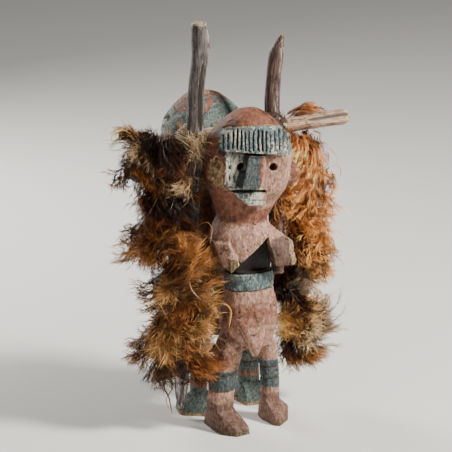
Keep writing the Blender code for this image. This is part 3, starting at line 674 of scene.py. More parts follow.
# %% Cuts in the fringe, the waist and the legs
def carve_fringe(skin):
    """Upright grooves over the brow, a line above them and a step at the brow itself."""
    points, head, last = skin.points, skin.head, skin.spec["grooves"] - 1
    angle = np.arctan2(head[:, 0], -head[:, 1])
    front_face = (np.abs(angle) < 1.3) & (head[:, 1] < 0)
    skin.sideways = 0.95 * head[:, 0] - 0.30 * head[:, 1] + 0.08 * (head[:, 2] - 920) - 24
    place_on_arc = skin.sideways / HALF_FRINGE * last / 2 + last / 2
    nearest = np.round(place_on_arc)
    uneven = noise(np.stack([nearest * 0.37, nearest * 0.11 + skin.number, nearest * 0], -1), 1.0, 3)
    off_groove = (place_on_arc - nearest - 0.22 * uneven) * HALF_FRINGE * 2 / last
    off_groove = off_groove + 1.6 * noise(points * (1, 1, 0.5), 0.005, 31)
    foot_of_groove, head_of_groove = 895 + 6 * uneven, 957 + 9 * uneven
    skin.level_brow = head[:, 2] + 0.27 * (head[:, 1] + 110) - 0.05 * head[:, 0]
    along_groove = ramp(head[:, 2], foot_of_groove - 4, foot_of_groove) * (
        1 - ramp(skin.level_brow, head_of_groove - 7, head_of_groove + 2))
    on_arc = (nearest >= 0) & (nearest <= last) & front_face
    patchy = 0.72 + 0.45 * uneven + 0.35 * noise(points, 0.012, 32)
    skin.groove = pit(off_groove, 3.4 + 0.8 * uneven) * along_groove * on_arc * patchy.clip(0.1, 1.2)
    skin.push -= 10.5 * skin.groove
    over_fringe = pit(skin.level_brow - 971 - 3 * skin.wobble, 4.2)
    skin.fringe_line = over_fringe * (np.abs(skin.sideways) < HALF_FRINGE + 4) * front_face
    skin.push -= 2.6 * skin.fringe_line * skin.in_head
    brow = pit(head[:, 2] - 872 - 1.5 * skin.wobble, 3.4) * ramp(-head[:, 1], FACE_PLANE + 4, FACE_PLANE + 9)
    skin.push -= 2.2 * brow * (np.abs(angle) < 1.05)


def carve_bands(skin):
    """Two lines round the waist and two round each leg, with the painted bands between them."""
    across, _, level = skin.body.T
    middle_of_body = np.abs(across) < 104
    waist = pit(level - 441 - 2 * skin.wobble, 3.6) + pit(level - 497 - 2 * skin.wobble, 3.6)
    skin.push -= 4.5 * waist * middle_of_body
    waist_band = ramp(level, 437, 443) * (1 - ramp(level, 494, 500)) * middle_of_body
    leg_lines, leg_bands = np.zeros((2, len(level)))
    for side in (-1, 1):
        on_leg = (across * side > 8) & (level < 230) & (level > 60)
        low, high = skin.spec["bands"][side > 0]
        for height in skin.spec["lines"][side > 0]:
            leg_lines += on_leg * pit(level - height - 2.5 * skin.wobble, 3.2)
        leg_bands += on_leg * ramp(level, low - 4, low + 4) * (1 - ramp(level, high - 4, high + 4))
    skin.push -= 4.0 * leg_lines
    skin.lines = np.clip(leg_lines + waist * (level < 470), 0, 1)
    skin.band = np.maximum(leg_bands, waist_band)


print("grooves:", FRONT["grooves"], "and", BACK["grooves"])

# %% Mouth, breaks and tool marks
def carve_mouth(skin):
    """Faint upright notches over the mouth slit, and a short cut under it."""
    x, y, z = skin.head.T
    over_slit = (z > 750) & (z < 777) & (np.abs(y + FACE_PLANE) < 8)
    notches = np.zeros(len(x))
    for place in np.linspace(-48, 8, 8):
        notches += pit(x - place - 2 * skin.wobble, 2.4) * over_slit
    skin.push -= 1.1 * notches
    under = pit(z - 737 - 2 * skin.wobble, 3.4)
    skin.push -= 3.0 * under * (x > -10) * (x < 40) * (np.abs(y + FACE_PLANE) < 10)


def carve_breaks(skin):
    """Torn wood where an ear broke off, and the rough ends of both arms."""
    points, head, number = skin.points, skin.head, skin.number
    torn = 0.75 * noise(points, 0.0095, 5 + number) + 0.35 * noise(points, 0.0035, 6 + number)
    from_ear = np.hypot(head[:, 1] + 68, (head[:, 2] - 808) * 0.9) / 37
    skin.scar = ramp(torn + 1.25 - from_ear, 0.1, 0.3) * (head[:, 0] < -82 + 6 * torn)
    skin.gouge = ramp(-noise(points, 0.0055, 6), 0.10, 0.45) * skin.scar
    skin.push -= (4.0 + 3.0 * noise(points, 0.0026, 7)) * skin.scar + 8.0 * skin.gouge
    skin.stump = np.zeros(len(points))
    for stump in ((118, -92, 526), (-80, -88, 518)):
        end = bend_trunk([stump], skin.spec)[0]
        reach = np.linalg.norm((skin.body - end) * (1.5, 1.0, 0.72), axis=1)
        skin.stump = np.maximum(skin.stump, 1 - ramp(reach + 10 * skin.wobble, 24, 36))
    skin.push += 2.6 * skin.stump * noise(points, 0.0028, 8)


def carve_tool_marks(skin):
    """Knife strokes along the grain all over, with pits and chips everywhere but on the face."""
    points, head, number = skin.points, skin.head, skin.number
    strokes = noise(points * (1.0, 1.0, 0.28), 0.0042, 9 + number)
    knife = np.abs(noise(points * (1.0, 1.0, 0.45), 0.0105, 12 + number))
    uneven = noise(points, 0.018, 15 + number)
    skin.push += 0.85 * strokes - 5.5 * (0.35 - knife).clip(0, 1) ** 2 + 1.6 * uneven
    off_face = 1 - skin.in_head * (head[:, 1] < -FACE_PLANE + 30) * (head[:, 2] < 888)
    pitted = noise(points, 0.0024, 33 + number) + 0.5 * noise(points, 0.014, 34)
    skin.pits = ramp(pitted, 0.78, 1.0) * off_face
    skin.push -= 1.6 * skin.pits
    chipped = noise(points, 0.0036, 17 + number) + 0.4 * noise(points, 0.02, 18)
    skin.chips = ramp(chipped, 0.74, 0.88) * off_face
    skin.push -= 1.5 * skin.chips


print("cuts to make:", [step.__name__ for step in (carve_mouth, carve_breaks, carve_tool_marks)])

# %% Press the cuts into the skin
def press(skin, whole):
    """Moves the corners, with the soles flat on the ground, and measures how far each stands out."""
    scale = np.linalg.norm(np.array(whole)[:3, 0])
    points = skin.points + normals(skin.mesh) * (skin.push * scale)[:, None]
    points[:, 2] = np.where(skin.body[:, 2] < SOLE_LEVEL, 0.0, np.maximum(points[:, 2], 0.0))
    set_coordinates(skin.mesh, points)
    skin.points = points
    average = neighbour_average(skin.mesh)

    def averaged(values, rounds):
        for _ in range(rounds):
            values = average(values)
        return values

    stands_out = ((points - average(points)) * normals(skin.mesh)).sum(1)[:, None]
    bulge = averaged(stands_out, 3)
    skin.bulge, skin.wide = bulge[:, 0] / VOXEL, averaged(bulge, 11)[:, 0] / VOXEL
    skin.ragged = noise(points, 0.009, 20 + skin.number) + 0.6 * noise(points, 0.003, 21 + skin.number)


def carve(figure, whole, spec, number):
    skin = skin_of(figure, whole, spec, number)
    for step in (carve_fringe, carve_bands, carve_mouth, carve_breaks, carve_tool_marks):
        step(skin)
    press(skin, whole)
    return skin


front_skin = carve(front_figure, front_whole, FRONT, 0)
back_skin = carve(back_figure, back_whole, BACK, 30)
print("front figure spans", [round(float(v), 4) for v in np.ptp(front_skin.points, axis=0)])

# %% [markdown]
# The paint zones become colours stored on the mesh, one number in each channel. The material reads them and
# breaks their edges with noise, because hand-ground paint on a knife-cut surface never ends in a clean line.
# Raised edges are marked for wear, soot lies in patches, and hollows and the places in shade are marked for
# painted shade.

# %% Areas of both figures
def mark_face(skin):
    """Areas of the head, 1 inside and 0 outside, with the uneven edges that a brush leaves."""
    x, y, z = skin.head.T
    ragged = skin.ragged
    skin.fringe = ramp(z + 0.02 * x, 876, 882) * (1 - ramp(skin.level_brow, 965, 972)) * (
        1 - ramp(np.abs(skin.sideways) + 12 * ragged, HALF_FRINGE - 6, HALF_FRINGE + 26)) * (y < 0)
    skin.face = (y < -FACE_PLANE + 26) & (z < 890)
    skin.nose = ramp(-y, FACE_PLANE + 2, FACE_PLANE + 6) * (z > 776) * (z < 886) * (x > -80) * (
        1 - ramp(x + 3 * ragged, -8, 4))
    skin.left_cheek = skin.face * (1 - ramp(x, -34, -22)) * ramp(z, 778, 786) * (x > -104 + 10 * ragged)
    right_side = skin.in_head * ramp(x, -8, 22) * ramp(-y, 20, 60)
    skin.right_face = right_side * (1 - ramp(z, 876, 886)) * ramp(z, 690, 730)
    slant = -88 + 70 * np.clip((778 - z) / 58, 0, 1)
    low_face = (y < -60) * (1 - ramp(z, 778, 784)) * ramp(z, 714, 722)
    skin.mouth = low_face * ramp(x, slant - 6, slant) * (1 - ramp(x + 9 * ragged, 18, 38))
    skin.crown = skin.in_head * ramp(z, 880, 930)
    # the neck under the chin, darkened later as painted shade
    over_neck = (1 - skin.in_head) * ramp(skin.body[:, 2], 652, 672)
    skin.neck = over_neck + skin.in_head * (1 - ramp(z, 662, 712)) * (y > -90)


def mark_body(skin):
    """Areas of the trunk, the arms and the legs."""
    across, behind, level = skin.body.T
    beside = ramp(across, 28, 44) * ramp(level, 505, 515)
    skin.arm = beside * (1 - ramp(level, 585, 625)) * ramp(-behind, 34, 50)
    skin.strip = skin.arm * ramp(across + 4 * skin.ragged, 98, 106)
    skin.lower = (1 - ramp(level, 430, 470)) * (0.6 + 0.4 * (1 - ramp(level, 310, 345)))
    skin.foot = 1 - ramp(level, 60, 130)
    # the belly hollow between the arm stumps, darkened later as painted shade
    skin.hole = ramp(level, 492, 498) * (1 - ramp(level, 585, 640)) * ramp(behind, -76, -66) * (
        behind < 10) * (np.abs(across) < 74) * skin.spec["front"]
    skin.sooted = ramp(noise(skin.points, 0.022, 50) + 0.5 * noise(skin.points, 0.007, 51), 0.05, 0.75)


for skin in (front_skin, back_skin):
    mark_face(skin)
    mark_body(skin)
    print("share of the skin under blue fringe:", round(float(skin.fringe.mean()), 3))

# %% Where each paint lies
def blue_paint(skin):
    """Blue on fringe, bands and nose; on cheek and mouth in front, and all over the back figure's head."""
    if skin.spec["front"]:
        more = [0.74 * skin.left_cheek, 0.78 * skin.mouth]
    else:
        patches = ramp(noise(skin.points, 0.03, 40) + 0.5 * skin.ragged, -0.45, 0.5)
        more = [skin.in_head * (0.25 + 0.7 * patches), 0.8 * skin.foot]
    return np.maximum.reduce([skin.fringe, skin.band, skin.nose, *more])


def bare_wood(skin):
    """Wood where something broke off or was cut, and where hands and ground rubbed the paint away."""
    across, behind, level = skin.body.T
    ragged = skin.ragged
    bare = [skin.scar, 0.75 * skin.stump, 0.9 * skin.chips, 0.9 * skin.lines, (1 - ramp(level, 6, 22)) * 0.7,
            0.8 * skin.strip, 0.85 * skin.fringe_line * skin.in_head]
    if skin.spec["front"]:
        edge = pit(across + 26 - 30 * (424 - level) / 79, 6 + 3 * ragged)
        edge = edge * (level > 343) * (level < 424) * (behind < -40)
        bare.append(0.9 * edge * ramp(ragged, -0.6, 0.4))
    else:
        bare.append(0.75 * skin.in_head * ramp(noise(skin.points, 0.018, 44) + 0.6 * ragged, 0.15, 0.8))
    return np.maximum.reduce(bare)


def pale_ground(skin):
    """The pale ground that shows through thin blue and beside the nose."""
    worn = noise(skin.points, 0.008, 60)
    off_nose = 1 - skin.nose
    pale = 0.62 * skin.mouth + 0.80 * skin.left_cheek * off_nose + 0.74 * skin.fringe * ramp(worn, -0.5, 0.4)
    pale = np.clip(pale + 0.30 * skin.band * ramp(worn, 0.1, 0.6), 0, 1)
    return np.clip(pale + 0.44 * skin.right_face * off_nose, 0, 1)


def pink_wash(skin):
    """The faded red of the right cheek, the chest and the legs."""
    _, behind, level = skin.body.T
    chest = ramp(level, 500, 540) * (1 - ramp(level, 648, 668)) * (1 - ramp(behind, -30, 20))
    drift = ramp(noise(skin.points, 0.03, 47), -0.2, 0.6)
    wash = 0.95 * skin.right_face + 0.82 * chest + 0.66 * skin.lower + 0.35 * drift
    return np.clip(wash - 0.40 * skin.crown, 0, 1)


print("front figure under blue:", round(float(blue_paint(front_skin).mean()), 3))

# %% Wear, painted shade and soot
def rubbed_edges(skin):
    crisp = 1 - np.maximum.reduce([0.35 * skin.fringe, 0.70 * skin.lower, 0.25 * skin.right_face])
    return np.clip(0.42 + (4.6 * skin.bulge + 2.6 * skin.wide) * crisp, 0, 1)


def painted_shade(skin):
    """Painted shade in grooves and pits, under the brow, by the nose, in the belly, on the right arm and left
    foot.
    """
    x, _, z = skin.head.T
    front = skin.spec["front"]
    # painted shade where the skin curves in, in the grooves and in the scar's gouges
    hollow = np.clip(-5.2 * skin.bulge - 2.8 * skin.wide + 0.85 * skin.groove, 0, 1)
    hollow = np.maximum(hollow, 0.8 * skin.gouge) * (1 - np.maximum(0.8 * skin.fringe_line, 0.6 * skin.scar))
    down_nose = ((880 - z) / 98).clip(0, 1)
    # painted shadow under the brow's ledge, on the nose's left flank and on the cheek beside the nose
    under_brow = ramp(z, 862, 880) * (1 - ramp(z, 884, 890)) * skin.face * (1 - ramp(x, 30, 70))
    flank = skin.nose * (x < -36 - 18 * down_nose) * (x > -76)
    beside_nose = skin.face * (x < -38) * (x > -62 - 10 * down_nose) * (z > 782) * (z < 878) * (1 - skin.nose)
    # painted shade on the right arm stump's front
    by_arm = 0.62 * skin.arm * (1 - skin.strip) * (0.7 + 0.5 * skin.sooted)
    # painted shade also in pits, in the belly hollow, on the nose and on the left foot
    return np.maximum.reduce([
        hollow, 0.80 * under_brow, 0.62 * flank, 0.30 * beside_nose * front, 0.8 * skin.pits, 1.0 * skin.hole,
        0.20 * skin.nose, by_arm, 0.22 * skin.foot * (skin.body[:, 0] < 0) * front,
    ])


def soot_and_painted_shade(skin):
    """Soot patches and painted shade under the chin; in front also painted shade in the belly and on the right
    arm, and darker nose, feet, left arm, bands, crown and stump ends.
    """
    across, behind, level = skin.body.T
    # soot in patches, and painted shade on the neck under the chin
    soot_and_shade_parts = [skin.sooted * 0.50, 0.5 * skin.neck]
    if skin.spec["front"]:
        other_arm = (across < -66) * ramp(level, 510, 530) * (1 - ramp(level, 596, 612)) * (behind < -30)
        # painted shade in the belly hollow and on the right arm stump's front; the nose, the feet near the
        # ground, the left stump, the lower bands, the crown and the stump ends are darker
        soot_and_shade_parts += [1.0 * skin.hole, 1.0 * skin.nose, skin.foot * (0.78 + 0.3 * skin.sooted)]
        soot_and_shade_parts += [1.0 * skin.arm * (1 - skin.strip), 0.66 * other_arm * (0.7 + 0.6 * skin.sooted)]
        soot_and_shade_parts += [0.72 * skin.band * (level < 260), 0.55 * skin.crown * (0.6 + 0.6 * skin.sooted)]
        soot_and_shade_parts += [0.85 * skin.stump * (1 - skin.strip)]
    return np.maximum.reduce(soot_and_shade_parts)


print("front figure in hollows:", round(float(painted_shade(front_skin).mean()), 3))

# %% Store the zones and thin the skin
FRONT_TRIANGLES, BACK_TRIANGLES = 146000, 70000


def store_zones(skin):
    set_colours(skin.mesh, "zones", np.stack([blue_paint(skin), bare_wood(skin), pale_ground(skin)], 1))
    # the second relief channel is painted shade, and the last layer holds soot patches with more painted shade
    set_colours(skin.mesh, "relief", np.stack([rubbed_edges(skin), painted_shade(skin), pink_wash(skin)], 1))
    set_colours(skin.mesh, "soot_and_shade", soot_and_painted_shade(skin)[:, None])


def thinned(figure, triangles):
    """Fewer triangles where the skin is smooth, and all of them where it's carved."""
    figure.data.calc_loop_triangles()
    thin = figure.modifiers.new("thin", "DECIMATE")
    thin.ratio = min(1.0, triangles / len(figure.data.loop_triangles))
    apply_modifiers(figure)
    print(figure.name, "thinned to", len(figure.data.polygons), "faces")


store_zones(front_skin)
store_zones(back_skin)
thinned(front_figure, FRONT_TRIANGLES)
thinned(back_figure, BACK_TRIANGLES)

# %% [markdown]
# ## Finishes
#
# A few effects come back on every piece: an edge broken by noise, a colour that drifts between three tones,
# fibres that run one way, and small dark pores. Each is a node group with named inputs, so a material reads
# as a short list of what happened to the surface.

# %% Node helpers
def fill(tree, node, inputs):
    """Sets a node's inputs: each is a value, a colour or another node's output."""
    for name, value in inputs.items():
        if isinstance(value, bpy.types.NodeSocket):
            tree.links.new(value, node.inputs[name])
        elif node.inputs[name].type == "RGBA":
            node.inputs[name].default_value = (*value, 1)
        else:
            node.inputs[name].default_value = value
    return node


def add(tree, kind, inputs=None, **settings):
    """A shader node with its settings and inputs."""
    made = tree.nodes.new(kind)
    for name, value in settings.items():
        setattr(made, name, value)
    return fill(tree, made, inputs or {})


def maths(tree, operation, first, second=0.0, third=0.0):
    return add(tree, "ShaderNodeMath", {0: first, 1: second, 2: third}, operation=operation).outputs[0]


def times(tree, first, second):
    return maths(tree, "MULTIPLY", first, second)


def blend(tree, factor, first, second, how="MIX"):
    made = add(tree, "ShaderNodeMix", {0: factor, 6: first, 7: second}, data_type="RGBA", blend_type=how)
    return made.outputs[2]


def between(tree, value, low, high):
    """0 below low and 1 above high, smooth between."""
    made = add(tree, "ShaderNodeMapRange", {"Value": value, "From Min": low, "From Max": high},
               interpolation_type="SMOOTHSTEP")
    return made.outputs[0]


def spread(tree, value, low, high, start=0.0, end=1.0):
    """A value that runs from start to end, spread evenly from low to high."""
    ends = {"From Min": start, "From Max": end, "To Min": low, "To Max": high}
    return add(tree, "ShaderNodeMapRange", {"Value": value, **ends}).outputs[0]


def cloud(tree, position, scale, detail=5.0, roughness=0.6):
    inputs = {"Vector": position, "Scale": scale, "Detail": detail, "Roughness": roughness}
    return add(tree, "ShaderNodeTexNoise", inputs).outputs[0]


def stretched(tree, position, x, y, z):
    return add(tree, "ShaderNodeVectorMath", {0: position, 1: (x, y, z)}, operation="MULTIPLY").outputs[0]


def channels(tree, attribute):
    """The three numbers that the mesh stores for each corner under a name."""
    layer = add(tree, "ShaderNodeAttribute", attribute_name=attribute).outputs["Color"]
    return add(tree, "ShaderNodeSeparateColor", {0: layer}).outputs


def effect(name, inputs, output):
    """An empty node group with named inputs and one output; its position comes first."""
    tree = bpy.data.node_groups.new(name, "ShaderNodeTree")
    tree.interface.new_socket("Position", in_out="INPUT", socket_type="NodeSocketVector")
    for title, start in inputs.items():
        kind = "NodeSocketColor" if start is None else "NodeSocketFloat"
        socket = tree.interface.new_socket(title, in_out="INPUT", socket_type=kind)
        if start is not None:
            socket.default_value = start
    kind = "NodeSocketColor" if output == "Colour" else "NodeSocketFloat"
    tree.interface.new_socket(output, in_out="OUTPUT", socket_type=kind)
    given, result = tree.nodes.new("NodeGroupInput").outputs, tree.nodes.new("NodeGroupOutput").inputs
    return tree, given, given["Position"], result[output]


def use(tree, group, position, **inputs):
    """The output of a node that applies a group at a position."""
    made = tree.nodes.new("ShaderNodeGroup")
    made.node_tree = group
    return fill(tree, made, {"Position": position, **inputs}).outputs[0]


def new_material(name):
    """A material with its nodes, its shader and the place on the object that its noise is read at."""
    made = bpy.data.materials.new(name)
    made.use_nodes = True
    tree = made.node_tree
    return made, tree, tree.nodes["Principled BSDF"], add(tree, "ShaderNodeTexCoord").outputs["Object"]


def finish_shader(tree, shader, colour, rough, height, strength, distance):
    """Links a colour, a roughness and a bump of that height to the shader."""
    bump = add(tree, "ShaderNodeBump", {"Height": height, "Strength": strength, "Distance": distance})
    fill(tree, shader, {"Base Color": colour, "Roughness": rough, "Normal": bump.outputs[0]})


def dress(piece, node, finish):
    """Gives a piece its finish, parents it to the bundle's root and hides the CAD node that it takes the place
    of.
    """
    piece.data.materials.clear()
    piece.data.materials.append(finish)
    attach(piece, "root")
    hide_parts(node)


# %% Effect: an edge broken by noise
ragged_edge, given, position, result = effect(
    "ragged edge", {"Coverage": 0.5, "Scale": 300, "Raggedness": 0.6}, "Mask")
grain = maths(ragged_edge, "SUBTRACT", cloud(ragged_edge, position, given["Scale"], 6, 0.7), 0.5)
broken = maths(ragged_edge, "MULTIPLY_ADD", grain, given["Raggedness"], given["Coverage"])
ragged_edge.links.new(between(ragged_edge, broken, 0.44, 0.56), result)

# %% Effect: a colour that drifts between three tones
mottle, given, position, result = effect(
    "mottled tones", {"Dark": None, "Middle": None, "Light": None, "Scale": 120}, "Colour")
broad = cloud(mottle, position, given["Scale"], 7, 0.68)
fine = cloud(mottle, stretched(mottle, position, 3.2, 3.2, 1.5), given["Scale"], 5, 0.62)
darkened = blend(mottle, between(mottle, broad, 0.30, 0.58), given["Dark"], given["Middle"])
lit = times(mottle, between(mottle, fine, 0.42, 0.70), 0.75)
mottle.links.new(blend(mottle, lit, darkened, given["Light"]), result)

# %% Effect: fibres that run up the piece
fibres, given, position, result = effect("upright fibres", {"Scale": 300, "Stretch": 0.08}, "Fibre")
squeeze = add(fibres, "ShaderNodeCombineXYZ", {"X": 1.0, "Y": 1.0, "Z": given["Stretch"]}).outputs[0]
along = add(fibres, "ShaderNodeVectorMath", {0: position, 1: squeeze}, operation="MULTIPLY").outputs[0]
fibres.links.new(cloud(fibres, along, given["Scale"], 6, 0.7), result)

# %% Effect: small dark pores and pits
pores, given, position, result = effect("pores", {"Scale": 500, "Density": 0.3}, "Mask")
cells = add(pores, "ShaderNodeTexVoronoi", {"Vector": position, "Scale": given["Scale"]}).outputs["Distance"]
where = between(pores, cloud(pores, position, 90, 4, 0.6), 0.45, 0.62)
size = times(pores, times(pores, where, given["Density"]), 1.2)
pores.links.new(between(pores, maths(pores, "SUBTRACT", size, cells), 0.0, 0.08), result)
print("effects:", [g.name for g in bpy.data.node_groups])

# %% [markdown]
# ### Worn paint over wood
#
# The paint is a matte, chalky ground of red ochre, with blue on the fringe, nose, cheek and bands. It was laid
# thin, so knife strokes show through it. It has rubbed off the raised edges down to pale ground and bare
# wood. Soot lies in patches, and painted shade darkens the grooves and hollows. The layers go on in the order
# that they happened.

# %% Material of the painted figures
def painted_wood(name, red, blue, wood, scale):
    """Layers from the bottom up: red ochre, pink wash, blue, pale ground, bare wood, soot with painted shade.
    """
    made, tree, shader, position = new_material(name)
    blue_zone, bare_zone, pale_zone = channels(tree, "zones")
    # the relief layer's second channel, hollow, is painted shade
    wear, hollow, pink_zone = channels(tree, "relief")
    soot_and_shade_zone = channels(tree, "soot_and_shade")[0]
    fibre = use(tree, fibres, position, Scale=520, Stretch=0.16)

    def toned(tones, size):
        dark, middle, light = tones
        return use(tree, mottle, position, Dark=dark, Middle=middle, Light=light, Scale=size * scale)

    def torn(coverage, size, raggedness):
        return use(tree, ragged_edge, position, Coverage=coverage, Scale=size, Raggedness=raggedness)

    drift = maths(tree, "SUBTRACT", cloud(tree, position, 130, 7, 0.72), 0.5)
    pink_mask = between(tree, maths(tree, "MULTIPLY_ADD", drift, 2.3, pink_zone), 0.18, 0.82)
    colour = blend(tree, pink_mask, toned(red[:3], 90), toned((red[1], red[3], red[4]), 140))
    colour = blend(tree, torn(blue_zone, 260, 0.75), colour, toned(blue, 170))

    rise = maths(tree, "SUBTRACT", fibre, 0.5)
    streaks = maths(tree, "MULTIPLY_ADD", rise, 1.1, times(tree, pale_zone, 0.66))
    colour = blend(tree, times(tree, torn(streaks, 420, 0.7), 0.85), colour, srgb(216, 208, 186))

    rubbed = maths(tree, "MULTIPLY_ADD", between(tree, fibre, 0.60, 0.70), 0.16, wear)
    rub_mask = torn(maths(tree, "MULTIPLY_ADD", rubbed, 1.25, -0.52), 480, 0.9)
    to_wood = between(tree, cloud(tree, position, 260), 0.42, 0.6)
    rub_colour = blend(tree, to_wood, srgb(214, 190, 160), wood[1])
    colour = blend(tree, times(tree, rub_mask, 0.8), colour, rub_colour)

    bare_mask = torn(bare_zone, 380, 0.7)
    grained = blend(tree, between(tree, fibre, 0.38, 0.64), wood[0], wood[1])
    grained = blend(tree, between(tree, cloud(tree, position, 700), 0.55, 0.7), grained, wood[2])
    colour = blend(tree, bare_mask, colour, grained)

    # soot patches and painted shade darken the colour
    grime_and_shade = times(tree, torn(soot_and_shade_zone, 110, 0.5), 0.80)
    colour = blend(tree, grime_and_shade, colour, blend(tree, 0.66, colour, srgb(60, 42, 34), "MULTIPLY"))
    pit_mask = use(tree, pores, position, Scale=560, Density=0.30)
    # painted shade in hollows and under things, and dark pores, take the colour to near black
    dark = maths(tree, "MAXIMUM", times(tree, hollow, 0.98), times(tree, pit_mask, 0.6))
    colour = blend(tree, dark, colour, srgb(20, 10, 6))

    height = maths(tree, "MULTIPLY_ADD", cloud(tree, position, 900, 4, 0.6), 0.35, fibre)
    height = maths(tree, "MULTIPLY_ADD", pit_mask, -0.9, height)
    height = maths(tree, "MULTIPLY_ADD", bare_mask, -0.5, height)
    height = maths(tree, "MULTIPLY_ADD", cloud(tree, position, 260, 5, 0.65), 0.9, height)
    finish_shader(tree, shader, colour, spread(tree, fibre, 0.50, 0.80), height, 0.95, 0.0010)
    shader.inputs["Specular IOR Level"].default_value = 0.36
    return made


OCHRE_RED = [srgb(68, 39, 29), srgb(116, 71, 53), srgb(150, 100, 78), srgb(158, 119, 101), srgb(212, 177, 158)]
FADED_RED = [srgb(70, 42, 32), srgb(112, 72, 56), srgb(146, 106, 88), srgb(136, 102, 86), srgb(176, 146, 124)]
BLUE_PAINT = [srgb(36, 46, 50), srgb(80, 97, 101), srgb(158, 168, 162)]
FADED_BLUE = [srgb(36, 49, 51), srgb(82, 98, 96), srgb(140, 148, 136)]
BARE_WOOD = [srgb(104, 78, 54), srgb(178, 147, 109), srgb(222, 200, 164)]
front_paint = painted_wood("worn red and blue paint", OCHRE_RED, BLUE_PAINT, BARE_WOOD, 1.0)
back_paint = painted_wood("faded blue paint over bare wood", FADED_RED, FADED_BLUE, BARE_WOOD, 1.1)
shade_smooth(front_figure.data)
shade_smooth(back_figure.data)
dress(front_figure, "figure_front", front_paint)
dress(back_figure, "figure_back", back_paint)
print("painted:", front_figure.name, back_figure.name)

# %% [markdown]
# ## Feathers
#
# A real feather is a quill with two rows of barbs. At this size the barbs are what the eye sees, so each one
# is a narrow strip of its own, rooted on the quill and bent towards its tip. Nothing is a flat cut-out. All
# feathers of one kind are grown together as arrays, because there are thousands of them.
#
# Three kinds are enough for a garland of domestic fowl: long pointed hackles from the neck, broad body
# feathers, and loose down. A fourth, with fewer barbs, fills the places under them.

# %% Quills
# barbs on a side, their slope in degrees at the root and the tip, how the outline rises and falls, how uneven
# and how fluffy the barbs are, the least and the whole half width as shares
Kind = namedtuple("Kind", "barbs root_slope tip_slope rise fall ragged fluff least width")
KINDS = {
    "hackle": Kind(18, 20, 7, .50, .62, .16, .06, .10, .11),
    "broad": Kind(18, 46, 16, .55, .42, .13, .09, .12, .20),
    "down": Kind(16, 50, 22, .22, .30, .36, .40, .26, .25),
    "under": Kind(10, 36, 14, .45, .50, .20, .12, .16, .18),
}
QUILL_STEPS = 5


def unit(vectors):
    return vectors / np.maximum(np.linalg.norm(vectors, axis=-1, keepdims=True), 1e-9)


def spines(roots, heading, curl_way, length, bend, roll):
    """A function that reads place, tangent, across and above at shares of every feather's curved quill."""
    heading = unit(heading)
    curl_way = unit(curl_way - heading * (curl_way * heading).sum(1, keepdims=True))
    flat = np.cross(heading, curl_way)

    def spine(t):
        turn = bend[:, None] * t
        ahead = length[:, None] * t * np.sinc(turn / math.pi)
        aside = length[:, None] * t * np.sin(turn / 2) * np.sinc(turn / 2 / math.pi)
        place = roots[:, None] + heading[:, None] * ahead[..., None] + curl_way[:, None] * aside[..., None]
        tangent = heading[:, None] * np.cos(turn)[..., None] + curl_way[:, None] * np.sin(turn)[..., None]
        inner = curl_way[:, None] * np.cos(turn)[..., None] - heading[:, None] * np.sin(turn)[..., None]
        cos, sin = np.cos(roll)[:, None, None], np.sin(roll)[:, None, None]
        return place, tangent, flat[:, None] * cos + inner * sin, inner * cos - flat[:, None] * sin

    return spine


def quill_strip(spine, tones, start):
    """A thin strip along each quill: corners, colours and triangles that count on from start."""
    count = len(tones)
    t = np.broadcast_to(np.linspace(0, 1, QUILL_STEPS + 1), (count, QUILL_STEPS + 1))
    place, _, across, above = spine(t)
    thick = (0.00035 * (1.1 - t))[..., None]
    corners = np.stack([place - across * thick + above * 0.0001, place + across * thick + above * 0.0001], 2)
    tone = (0.55 * tones[:, None, 1] + 0.45 * tones[:, None, 2]) * np.ones((1, QUILL_STEPS + 1, 1))
    steps = np.arange(QUILL_STEPS)[:, None, None] * 2 + start
    triangles = (steps + np.array([[0, 1, 3], [0, 3, 2]])).reshape(-1, 3)
    return corners.reshape(count, -1, 3), np.repeat(tone, 2, 1), triangles


print("triangles in a hackle:", 2 * KINDS["hackle"].barbs * 3 + QUILL_STEPS * 2)

